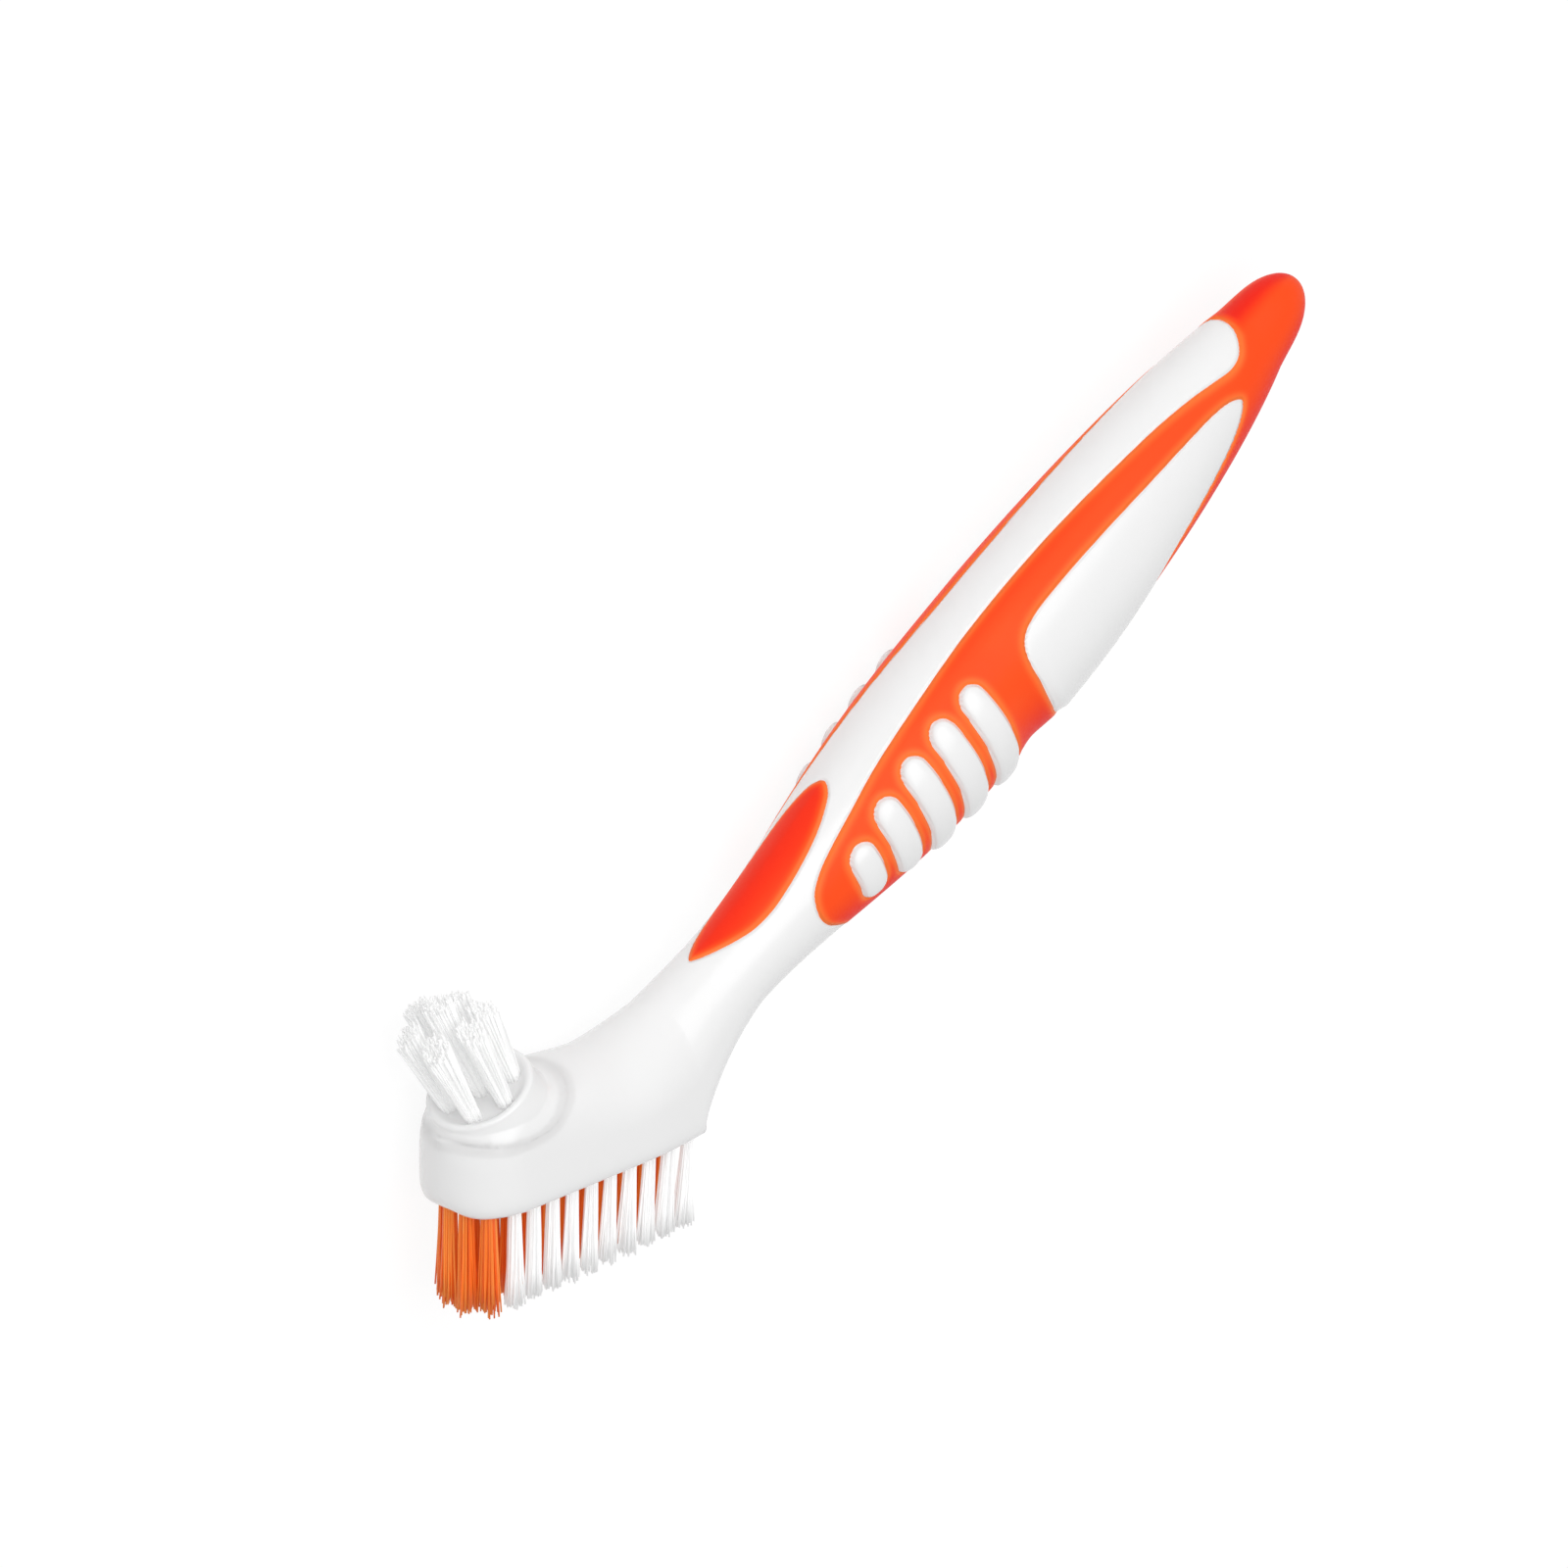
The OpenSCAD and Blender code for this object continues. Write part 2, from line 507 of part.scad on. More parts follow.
handle_core();
grip_overmould();
thumb_pad();
brush_anchors();
tip_anchors();
for (k = [0:N_SIDE - 1]) {
    side_tuft(k, 1);
    side_tuft(k, -1);
}
for (k = [0:N_INNER - 1]) {
    inner_tuft(k, 1);
    inner_tuft(k, -1);
}
for (k = [0:N_FRONT - 1]) front_tuft(k);
for (k = [0:tip_tufts]) tip_tuft(k);
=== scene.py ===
import logging
import math
from dataclasses import dataclass, field
from enum import Enum

import bpy
import numpy as np
from mathutils import Matrix, Vector
from mathutils.bvhtree import BVHTree
from mathutils.kdtree import KDTree


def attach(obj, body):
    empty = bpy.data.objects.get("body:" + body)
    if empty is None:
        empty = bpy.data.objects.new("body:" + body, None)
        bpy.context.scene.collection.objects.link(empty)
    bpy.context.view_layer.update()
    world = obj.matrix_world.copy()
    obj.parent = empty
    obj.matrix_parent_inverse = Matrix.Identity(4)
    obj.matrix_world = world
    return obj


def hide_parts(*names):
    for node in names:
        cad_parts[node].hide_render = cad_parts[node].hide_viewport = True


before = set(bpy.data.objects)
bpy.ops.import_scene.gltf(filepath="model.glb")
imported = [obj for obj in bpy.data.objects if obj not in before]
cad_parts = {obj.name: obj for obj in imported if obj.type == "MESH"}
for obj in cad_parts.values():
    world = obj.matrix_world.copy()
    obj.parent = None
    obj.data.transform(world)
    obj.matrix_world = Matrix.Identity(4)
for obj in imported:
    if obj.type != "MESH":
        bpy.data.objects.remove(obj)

LOG = logging.getLogger("denture_brush")
MM = 0.001
# How far a degree round the handle counts beside a mm along it, where its lines are drawn.
DEGREE = 0.15
# The middle of the solids' box in plan and their lowest point, in the brush's own positions in mm.
X_MID, Y_MID, Z_LOW = 58.5772, 30.8182, -9.25901
PLACE = np.array([-X_MID, -Y_MID, -Z_LOW])


def linear(code: str) -> tuple[float, float, float, float]:
    """Turns an sRGB hex colour into the linear colour that a shader takes.

    Args:
        code: Six hex digits, such as "ff5a1f".

    Returns:
        Red, green, blue and alpha.
    """
    parts = [int(code[k:k + 2], 16) / 255 for k in (0, 2, 4)]
    return (*[c / 12.92 if c <= 0.04045 else ((c + 0.055) / 1.055) ** 2.4 for c in parts], 1.0)


def mix(a: np.ndarray | float, b: np.ndarray | float, t: np.ndarray | float) -> np.ndarray | float:
    """Goes from a to b as t goes from 0 to 1."""
    return a + (b - a) * t


def ease(t: np.ndarray | float) -> np.ndarray | float:
    """Starts and ends gently between 0 and 1."""
    return (1 - np.cos(np.pi * np.clip(t, 0, 1))) / 2


def rise(x: np.ndarray, span: tuple[float, float]) -> np.ndarray:
    """Goes gently from 0 to 1 over a span, which is its start and its length."""
    return ease((x - span[0]) / span[1])


def heading(degrees: float) -> np.ndarray:
    """Gives the direction in the side view at an angle from the bristle face."""
    return np.array([math.cos(math.radians(degrees)), math.sin(math.radians(degrees))])


def meeting(p: np.ndarray, p_deg: float, q: np.ndarray, q_deg: float) -> np.ndarray:
    """Finds where a line through p meets a line through q.

    Args:
        p: First point.
        p_deg: Heading of the first line.
        q: Second point.
        q_deg: Heading of the second line.

    Returns:
        The point where they cross.
    """
    d, e, w = heading(p_deg), heading(q_deg), q - p
    return p + d * (w[0] * e[1] - w[1] * e[0]) / (d[0] * e[1] - d[1] * e[0])


def bent(a: np.ndarray, b: np.ndarray, c: np.ndarray, t: np.ndarray) -> np.ndarray:
    """Follows the curve from a to c that leans towards b.

    Args:
        a: Start.
        b: Corner.
        c: End.
        t: How far along, from 0 to 1, one for each point wanted.

    Returns:
        One row for each entry of t.
    """
    t = np.asarray(t, float)[:, None]
    return (1 - t) ** 2 * a + 2 * t * (1 - t) * b + t ** 2 * c


def smooth_line(knots: list[tuple[float, float]], closed: bool, step: float) -> np.ndarray:
    """Draws a smooth line through a few points of the unrolled handle.

    Args:
        knots: Points as distance from the handle's end in mm and angle from its top in degrees.
        closed: Whether the line returns to its start.
        step: Rough spacing of the result in mm.

    Returns:
        Points of the line, close together.
    """
    k = np.array(knots, float)
    n = len(k)
    scale = np.array([1.0, DEGREE])
    out = []
    for i in range(n if closed else n - 1):
        quad = [k[(i + j) % n] if closed else k[min(max(i + j, 0), n - 1)] for j in (-1, 0, 1, 2)]
        a, b, c, d = quad
        lengths = [max(1e-6, np.linalg.norm((q - p) * scale)) ** 0.5 for p, q in zip(quad, quad[1:])]
        m1 = (c - b) if lengths[0] < 1e-2 else ((b - a) / lengths[0] - (c - a) / (lengths[0] + lengths[1])
                                                + (c - b) / lengths[1]) * lengths[1]
        m2 = (c - b) if lengths[2] < 1e-2 else ((c - b) / lengths[1] - (d - b) / (lengths[1] + lengths[2])
                                                + (d - c) / lengths[2]) * lengths[1]
        count = max(2, int(np.linalg.norm((c - b) * scale) / step))
        t = np.linspace(0, 1, count, endpoint=False)[:, None]
        out.append((2 * t ** 3 - 3 * t ** 2 + 1) * b + (t ** 3 - 2 * t ** 2 + t) * m1
                   + (-2 * t ** 3 + 3 * t ** 2) * c + (t ** 3 - t ** 2) * m2)
    if not closed:
        out.append(k[-1:])
    return np.vstack(out)


@dataclass
class BodyForm:
    """The brush's body as a loft of rings along a bent centre line, in mm and degrees.

    Positions have three numbers: along the bristle face from the middle of the head's round
    front, away from the bristle face, and to the side that faces up. A name that ends in _n is a
    squareness: 2 gives an ellipse, and more gives fuller corners. A name that ends in _mid is the
    height of a ring's widest place, as a share of its height.
    """

    overall_len: float = 152.0
    neck_rise: float = 29.8
    low_rise: float = 57.5
    handle_rise: float = 35.4
    head_w: float = 15.0
    head_len: float = 36.7
    saddle_h: float = 13.6
    edge_r: float = 3.2
    seat_h: float = 14.2
    seat_back: float = 1.0
    seat_tilt: float = 28.0
    seat_sunk: float = 0.35
    neck_run: float = 9.2
    neck_h: float = 16.1
    waist_h: float = 11.2
    waist_w: float = 10.5
    handle_h: float = 20.6
    handle_w: float = 17.5
    full_at: float = 54.5
    saddle_at: float = 0.56
    turn_share: float = 0.6
    narrow_at: float = 0.63
    corner_fade: float = 0.27
    back_ease: float = 2.0
    front_drop: float = 0.25
    front_mid: float = 0.43
    head_mid: float = 0.4
    corner_mid: float = 0.46
    front_top_n: float = 2.8
    front_face_n: float = 3.0
    head_top_n: float = 4.0
    top_rounding: float = 1.6
    face_n: float = 7.0
    corner_n: float = 7.5
    face_flat: float = 1.02
    tail_power: float = 1.72
    waist_power: float = 1.54
    nose: float = 0.75
    nose_fullness: float = 5.6
    nose_run: float = 14.0
    nose_start: float = 2.0
    nose_end: float = 14.0

    def __post_init__(self) -> None:
        """Works out the corners of the side view."""
        self.head_r = self.head_w / 2
        self.face_end = self.head_len - self.head_r
        self.front_point = np.array([-self.head_r, self.neck_h / 3])
        self.waist = np.array([self.face_end + self.neck_run, self.neck_h])
        across = heading(self.neck_rise + 90) * self.waist_h / 2
        mean = heading((self.neck_rise + self.handle_rise) / 2)
        reach = self.waist - self.front_point
        along = reach @ mean
        self.handle_len = math.sqrt(along ** 2 - reach @ reach + self.overall_len ** 2) - along
        self.handle_tip = self.waist + mean * self.handle_len
        self.handle_bend = meeting(self.waist, self.neck_rise, self.handle_tip, self.handle_rise)
        self.face_corner = np.array([self.face_end, 0.0])
        self.saddle = np.array([self.face_end * self.saddle_at, self.saddle_h])
        self.waist_top, self.waist_low = self.waist + across, self.waist - across
        self.top_bend = meeting(self.saddle, 0, self.waist_top, self.neck_rise)
        to_middle = self.waist - (bent(self.saddle, self.top_bend, self.waist_top, [self.turn_share])[0]
                                  + self.face_corner) / 2
        self.neck_mid = float(np.linalg.norm(to_middle))
        self.low_bend = meeting(self.face_corner, self.low_rise, self.waist_low, self.neck_rise)

    def seat_line(self, along: np.ndarray) -> np.ndarray:
        """Height of the seat's leaning plane at a distance along the face."""
        return self.seat_h + (along + self.seat_back) * math.tan(math.radians(self.seat_tilt))

    def back(self, along: np.ndarray) -> np.ndarray:
        """Finds the height of the head's back, which rises with the seat and levels off under it.

        Args:
            along: Distances along the face in mm.

        Returns:
            Heights over the face in mm.
        """
        rising = self.seat_line(along) - self.seat_sunk
        close = np.maximum(self.back_ease - abs(rising - self.saddle_h), 0)
        return np.minimum(rising, self.saddle_h) - close ** 2 / (4 * self.back_ease)

    def side_w(self, top: np.ndarray, low: np.ndarray) -> np.ndarray:
        """Finds how wide the head and neck are, which narrow towards the waist.

        Args:
            top: Top points of the rings, one a row.
            low: Their bottom points.

        Returns:
            Half the width of each ring in mm.
        """
        start = self.narrow_at * self.face_end
        share = ((top[:, 0] + low[:, 0]) / 2 - start) / (self.waist[0] - start)
        return mix(self.head_r, self.waist_w / 2, ease(share))

    def front_rings(self, b: np.ndarray) -> np.ndarray:
        """Rings of the head's round front.

        Args:
            b: Angle round the front in degrees, from its middle.

        Returns:
            One row for each ring: its top and bottom point, widest place, half width, squareness
            of its upper and lower half, and how flat its lower side is cut.
        """
        c, s = np.cos(np.radians(b)), np.sin(np.radians(b))
        along = -self.head_r * c
        inside = np.clip(self.edge_r - self.head_r + self.head_r * c, 0, self.edge_r)
        top = self.back(along) - inside * self.front_drop
        low = self.edge_r - np.sqrt(self.edge_r ** 2 - inside ** 2)
        return np.stack([along, top, along, low, np.full_like(b, self.front_mid), self.head_r * s,
                         mix(self.front_top_n, self.head_top_n, b / 90),
                         mix(self.front_face_n, self.face_n, b / 90),
                         np.full_like(b, self.face_flat)], -1)

    def head_rings(self, q: np.ndarray) -> np.ndarray:
        """Rings of the head from its round front to the rear corner of the bristle face.

        Args:
            q: Share of the way, from 0 to 1.

        Returns:
            Rows as in front_rings.
        """
        along = q * self.face_end
        share = np.clip((q - self.saddle_at) / (1 - self.saddle_at), 0, 1) * self.turn_share
        top = bent(self.saddle, self.top_bend, self.waist_top, share)
        near = along <= self.saddle[0]
        top[near] = np.stack([along, self.back(along)], -1)[near]
        low = np.stack([along, 0 * q], -1)
        rounding = ease(np.minimum(1, q * self.top_rounding))
        return np.stack([*top.T, *low.T, mix(self.head_mid, self.corner_mid, q),
                         self.side_w(top, low), mix(self.head_top_n, 2.0, rounding),
                         mix(self.face_n, self.corner_n, q), np.full_like(q, self.face_flat)], -1)

    def neck_rings(self, t: np.ndarray) -> np.ndarray:
        """Rings from the rear corner of the bristle face to the waist.

        Args:
            t: Share of the way, from 0 to 1.

        Returns:
            Rows as in front_rings.
        """
        top = bent(self.saddle, self.top_bend, self.waist_top, mix(self.turn_share, 1, t))
        low = bent(self.face_corner, self.low_bend, self.waist_low, t)
        return np.stack([*top.T, *low.T, mix(self.corner_mid, 0.5, t),
                         self.side_w(top, low), np.full_like(t, 2.0),
                         mix(self.corner_n, 2.0, t ** self.corner_fade), mix(self.face_flat, 1.0, t)], -1)

    def handle_rings(self, d: np.ndarray) -> np.ndarray:
        """Rings of the handle.

        Args:
            d: Distance from the handle's end in mm.

        Returns:
            Rows as in front_rings.
        """
        t = np.minimum(d / self.handle_len, 1)
        centre = bent(self.handle_tip, self.handle_bend, self.waist, t)
        v = mix(self.handle_tip - self.handle_bend, self.handle_bend - self.waist, t[:, None])
        v /= np.linalg.norm(v, axis=1)[:, None]
        up = np.stack([-v[:, 1], v[:, 0]], -1)
        behind = np.maximum(0, self.full_at - d) / self.full_at
        ahead = np.maximum(0, d - self.full_at) / (self.handle_len - self.full_at)
        tail = np.sqrt(np.maximum(0, 1 - behind ** self.tail_power))
        slim = ease(ahead ** self.waist_power)
        # The last few millimetres round off more fully than the rest of the tail.
        e = np.maximum(0, d + self.nose)
        blunt = np.sqrt(e * self.nose_fullness * np.exp(-e / self.nose_run)) * 2 / self.handle_h
        past = (d - self.nose_start) / (self.nose_end - self.nose_start)
        tail = mix(np.maximum(blunt, tail), tail, ease(past))
        half_h = mix(self.handle_h, self.waist_h, slim) / 2 * tail
        half_w = mix(self.handle_w, self.waist_w, slim) / 2 * tail
        top, low = centre + up * half_h[:, None], centre - up * half_h[:, None]
        one = np.ones_like(d)
        return np.stack([*top.T, *low.T, 0.5 * one, half_w, 2 * one, 2 * one, one], -1)

    @staticmethod
    def points(rings: np.ndarray, theta: np.ndarray) -> np.ndarray:
        """Places points on rings.

        Args:
            rings: Rows from one of the ring methods.
            theta: Angles in degrees from the top, broadcastable against the rings.

        Returns:
            Points in mm, with the shape of rings by theta.
        """
        r = rings.T[:, :, None]
        a = np.radians(theta)
        c, s = np.cos(a), np.sin(a)
        n = np.where(c >= 0, r[6], r[7])
        k = np.abs(c) ** (2 / n)
        rise = np.where(c >= 0, (1 - r[4]) * k, -r[4] * np.minimum(1, r[8] * k))
        low = np.stack([r[2], r[3]], -1)
        span = np.stack([r[0] - r[2], r[1] - r[3]], -1)
        p = low + span * (r[4] + rise)[..., None]
        return np.concatenate([p, (np.sign(s) * np.abs(s) ** (2 / n) * r[5])[..., None]], -1)

    def on_handle(self, line: np.ndarray) -> np.ndarray:
        """Puts points of the unrolled handle on its surface.

        Args:
            line: Rows of distance from the end and angle from the top.

        Returns:
            Their places in mm.
        """
        d = line[:, 0]
        neck = np.clip(1 - (d - self.handle_len) / self.neck_mid, 0, 1)
        rings = np.where(d[:, None] > self.handle_len, self.neck_rings(neck), self.handle_rings(d))
        return np.stack([self.points(rings[i:i + 1], line[i:i + 1, 1])[0, 0] for i in range(len(line))])


@dataclass
class TwoColourLayout:
    """Where the soft orange skin lies on the handle, drawn on its unrolled surface.

    Each line is a list of distances from the handle's end in mm and angles from its top in degrees.
    """

    grip_edge: list[tuple[float, float]] = field(default_factory=lambda: [
        (9.6, 0), (9.7, 14), (10.3, 30), (11.2, 42), (12.3, 50), (14, 52.5), (17, 46), (20, 39.5),
        (25, 32.5), (30, 28.5), (40, 23), (50, 20.5), (60, 21), (70, 25.5), (80, 31.8), (85, 38),
        (90, 45.5), (92.9, 52.5), (95, 63), (95.9, 75.5), (96.2, 90), (95.7, 105), (94.6, 118),
        (93.4, 132), (92.7, 150), (92.5, 180)])
    panel_edge: list[tuple[float, float]] = field(default_factory=lambda: [
        (15.9, 83), (16.4, 77), (17.6, 71), (20, 65.5), (25, 60.5), (30, 57.2), (40, 52), (48, 50),
        (53, 50.6), (55.5, 54), (56.8, 60), (57.6, 70), (58, 88), (58.1, 105), (57.6, 128), (56.4, 143),
        (54, 150), (50, 148), (44, 138), (38, 129), (30, 118), (25, 112), (20, 103.5), (17.6, 96),
        (16.3, 89)])
    pad_edge: list[tuple[float, float]] = field(default_factory=lambda: [
        (84, 0), (85, 11), (87, 19), (90, 27), (94, 34), (97, 38), (100, 40.5), (103, 38), (105, 32),
        (107, 24), (109, 15), (110.6, 6), (111.2, 0), (110.6, -6), (109, -15), (107, -24), (105, -32),
        (103, -38), (100, -40.5), (97, -38), (94, -34), (90, -27), (87, -19), (85, -11)])
    rib_at: float = 66.0
    rib_pitch: float = 5.5
    rib_w: float = 3.7
    rib_span: tuple[tuple[float, float], ...] = ((45, 148), (44.5, 146), (46, 144), (51, 127), (61.5, 118))
    rib_lean: float = 0.011
    rib_lean_from: float = 75.0
    handle_r: float = 8.2
    end_points: int = 9
    step: float = 0.12

    def rib_edge(self, k: int) -> list[tuple[float, float]]:
        """Outline of one finger rib, long and round at both ends.

        Args:
            k: Number of the rib from the rear.

        Returns:
            A closed line.
        """
        mid = self.rib_at + k * self.rib_pitch
        top, low = self.rib_span[k]
        half = self.rib_w / 2
        turn = math.degrees(half / self.handle_r)
        arcs = []
        for end, sign in ((top, -1), (low, 1)):
            for a in np.linspace(0, 180, self.end_points):
                arcs.append((mid - sign * half * math.cos(math.radians(a)),
                             end - sign * turn + sign * turn * math.sin(math.radians(a))))
        return [(d + self.rib_lean * (t - self.rib_lean_from), t) for d, t in arcs]

    def lines(self) -> dict[str, list[np.ndarray]]:
        """Draws all the edges, on the side that faces up.

        Returns:
            For each of grip, panel, ribs and pad, its lines.
        """
        return {
            "grip": [smooth_line(self.grip_edge, False, self.step)],
            "panel": [smooth_line(self.panel_edge, True, self.step)],
            "ribs": [smooth_line(self.rib_edge(k), True, self.step) for k in range(len(self.rib_span))],
            "pad": [smooth_line(self.pad_edge, True, self.step)],
        }


def inside(line: np.ndarray, d: np.ndarray, theta: np.ndarray) -> np.ndarray:
    """Tells which points of the unrolled handle a closed line surrounds.

    Args:
        line: Points of the line.
        d: Distances of the points in question.
        theta: Their angles.

    Returns:
        True or False for each.
    """
    out = np.zeros(d.shape, bool)
    px, py = line[:, 0], line[:, 1]
    qx, qy = np.roll(px, -1), np.roll(py, -1)
    for x1, y1, x2, y2 in zip(px, py, qx, qy):
        if y1 == y2:
            continue
        crosses = (y1 > theta) != (y2 > theta)
        out ^= crosses & (d < (x2 - x1) * (theta - y1) / (y2 - y1) + x1)
    return out


def distance(lines: list[np.ndarray], points: np.ndarray) -> np.ndarray:
    """Distance of each point from the nearest of some lines.

    Args:
        lines: Places along each line, close together.
        points: Places to measure from.

    Returns:
        One distance for each point, in mm.
    """
    here = np.vstack(lines)
    after = np.vstack([np.vstack([a[1:], a[-1:]]) for a in lines])
    before = np.vstack([np.vstack([a[:1], a[:-1]]) for a in lines])
    tree = KDTree(len(here))
    for i, p in enumerate(here):
        tree.insert(p, i)
    tree.balance()
    near = np.array([tree.find(p)[1] for p in points])
    best = np.full(len(points), 1e9)
    for other in (after, before):
        a, b = here[near], other[near]
        ab = b - a
        t = np.clip(((points - a) * ab).sum(1) / np.maximum((ab * ab).sum(1), 1e-12), 0, 1)
        best = np.minimum(best, np.linalg.norm(points - a - ab * t[:, None], axis=1))
    return best


def grid_faces(rows: int, cols: int, closed: bool = True) -> np.ndarray:
    """Quads of a grid of points that goes round.

    Args:
        rows: Rings.
        cols: Points in each ring.
        closed: Whether the last point of a ring is joined to its first.

    Returns:
        Four point numbers for each quad, facing outwards.
    """
    i, j = np.meshgrid(np.arange(rows - 1), np.arange(cols if closed else cols - 1), indexing="ij")
    i, j = i.ravel(), j.ravel()
    k = (j + 1) % cols
    return np.stack([i * cols + j, i * cols + k, (i + 1) * cols + k, (i + 1) * cols + j], -1)


def make_piece(name: str, points: np.ndarray, faces: list, values: dict[str, np.ndarray],
               finish: bpy.types.Material) -> bpy.types.Object:
    """Makes an object from points in the brush's own mm positions.

    Args:
        name: Plain name of the piece.
        points: Places in mm.
        faces: Point numbers of each face.
        values: Numbers kept at each point, by name, for its material.
        finish: Its material.

    Returns:
        The object, at the origin, with its place in its mesh.
    """
    mesh = bpy.data.meshes.new(name)
    placed = (np.asarray(points) + PLACE) * MM
    mesh.from_pydata(placed.tolist(), [], [list(map(int, f)) for f in faces])
    for key, data in values.items():
        mesh.attributes.new(key, "FLOAT", "POINT").data.foreach_set("value", np.asarray(data, np.float32))
    mesh.validate()
    mesh.shade_smooth()
    mesh.materials.append(finish)
    obj = bpy.data.objects.new(name, mesh)
    bpy.context.scene.collection.objects.link(obj)
    return obj


def used_piece(name: str, points: np.ndarray, faces: list, values: dict[str, np.ndarray],
               finish: bpy.types.Material) -> bpy.types.Object:
    """Makes a piece of only those points that a face needs.

    Args:
        name: Plain name of the piece.
        points: Places in mm.
        faces: Point numbers of each face.
        values: Numbers kept at each point, by name, for its material.
        finish: Its material.

    Returns:
        The object, as make_piece makes it.
    """
    used = np.zeros(len(points), bool)
    for face in faces:
        used[face] = True
    number = np.cumsum(used) - 1
    return make_piece(name, points[used], [[number[k] for k in face] for face in faces],
                      {key: data[used] for key, data in values.items()}, finish)


def add(tree: bpy.types.NodeTree, kind: str, links: dict | None = None, **settings: object) -> bpy.types.Node:
    """Adds a node with its settings and links.

    Args:
        tree: The tree that it goes into.
        kind: Blender's name for the node.
        links: Value or output socket for each input, by name or number.
        settings: The node's own settings.

    Returns:
        The node.
    """
    node = tree.nodes.new(kind)
    for key, value in settings.items():
        setattr(node, key, value)
    for key, value in (links or {}).items():
        socket = node.inputs[key]
        if isinstance(value, bpy.types.NodeSocket):
            tree.links.new(value, socket)
        else:
            socket.default_value = value
    return node


def blank_material(name: str) -> tuple[bpy.types.Material, bpy.types.NodeTree]:
    """Makes a material whose node tree is still empty.

    Args:
        name: Name of the material.

    Returns:
        The material and its node tree.
    """
    mat = bpy.data.materials.new(name)
    mat.use_nodes = True
    mat.node_tree.nodes.clear()
    return mat, mat.node_tree


def rolled_edge(tree: bpy.types.NodeTree, width: float, height: float) -> bpy.types.NodeSocket:
    """Rounds a moulded surface off beside the seam between the two plastics.

    Args:
        tree: The material's tree.
        width: Distance from the seam at which it sets in, in mm.
        height: How far the surface drops at the seam, in metres.

    Returns:
        The surface's direction with the rounding in it.
    """
    seam = add(tree, "ShaderNodeAttribute", attribute_name="seam")
    roll = add(tree, "ShaderNodeMapRange", {"Value": seam.outputs["Fac"], "From Max": width},
               interpolation_type="SMOOTHSTEP")
    bump = add(tree, "ShaderNodeBump", {"Height": roll.outputs[0], "Distance": height, "Strength": 0.8})
    return bump.outputs[0]


def report(piece: bpy.types.Object) -> None:
    """Says in the log what a piece is made of."""
    LOG.info("%s: %d faces", piece.name, len(piece.data.polygons))


@dataclass(frozen=True)
class GlossyPolypropylene:
    """White polypropylene from a polished mould: bright, glossy, slightly milky at its edges."""

    colour: str = "eeeeee"
    roughness: float = 0.22

    def material(self) -> bpy.types.Material:
        """Builds the material.

        Returns:
            The material.
        """
        mat, tree = blank_material("polypropylene_moulded_white")
        where = add(tree, "ShaderNodeTexCoord").outputs["Object"]
        # A cooled moulding is never quite flat: shallow waves about 9 mm long.
        waves = add(tree, "ShaderNodeTexNoise", {"Vector": where, "Scale": 110.0, "Detail": 1.0})
        # Fine haze left by the mould's polish, 0.5 mm grain.
        haze = add(tree, "ShaderNodeTexNoise", {"Vector": where, "Scale": 2000.0, "Detail": 2.0})
        rough = add(tree, "ShaderNodeMapRange", {
            "Value": haze.outputs[0], "From Min": 0.3, "From Max": 0.7,
            "To Min": self.roughness - 0.03, "To Max": self.roughness + 0.05})
        # The white plastic rounds off beside the orange, over 0.4 mm.
        bump = add(tree, "ShaderNodeBump", {"Height": waves.outputs[0], "Distance": 0.00005, "Strength": 0.5,
                                            "Normal": rolled_edge(tree, 0.4, 0.00012)})
        # Polypropylene has an IOR of 1.49. Light goes about 1 mm into it and comes out milky.
        shader = add(tree, "ShaderNodeBsdfPrincipled", {
            "Base Color": linear(self.colour), "Roughness": rough.outputs[0], "IOR": 1.49,
            "Subsurface Weight": 0.15, "Subsurface Radius": (1.0, 1.0, 1.0), "Subsurface Scale": 0.0012,
            "Normal": bump.outputs[0]})
        add(tree, "ShaderNodeOutputMaterial", {"Surface": shader.outputs[0]})
        return mat


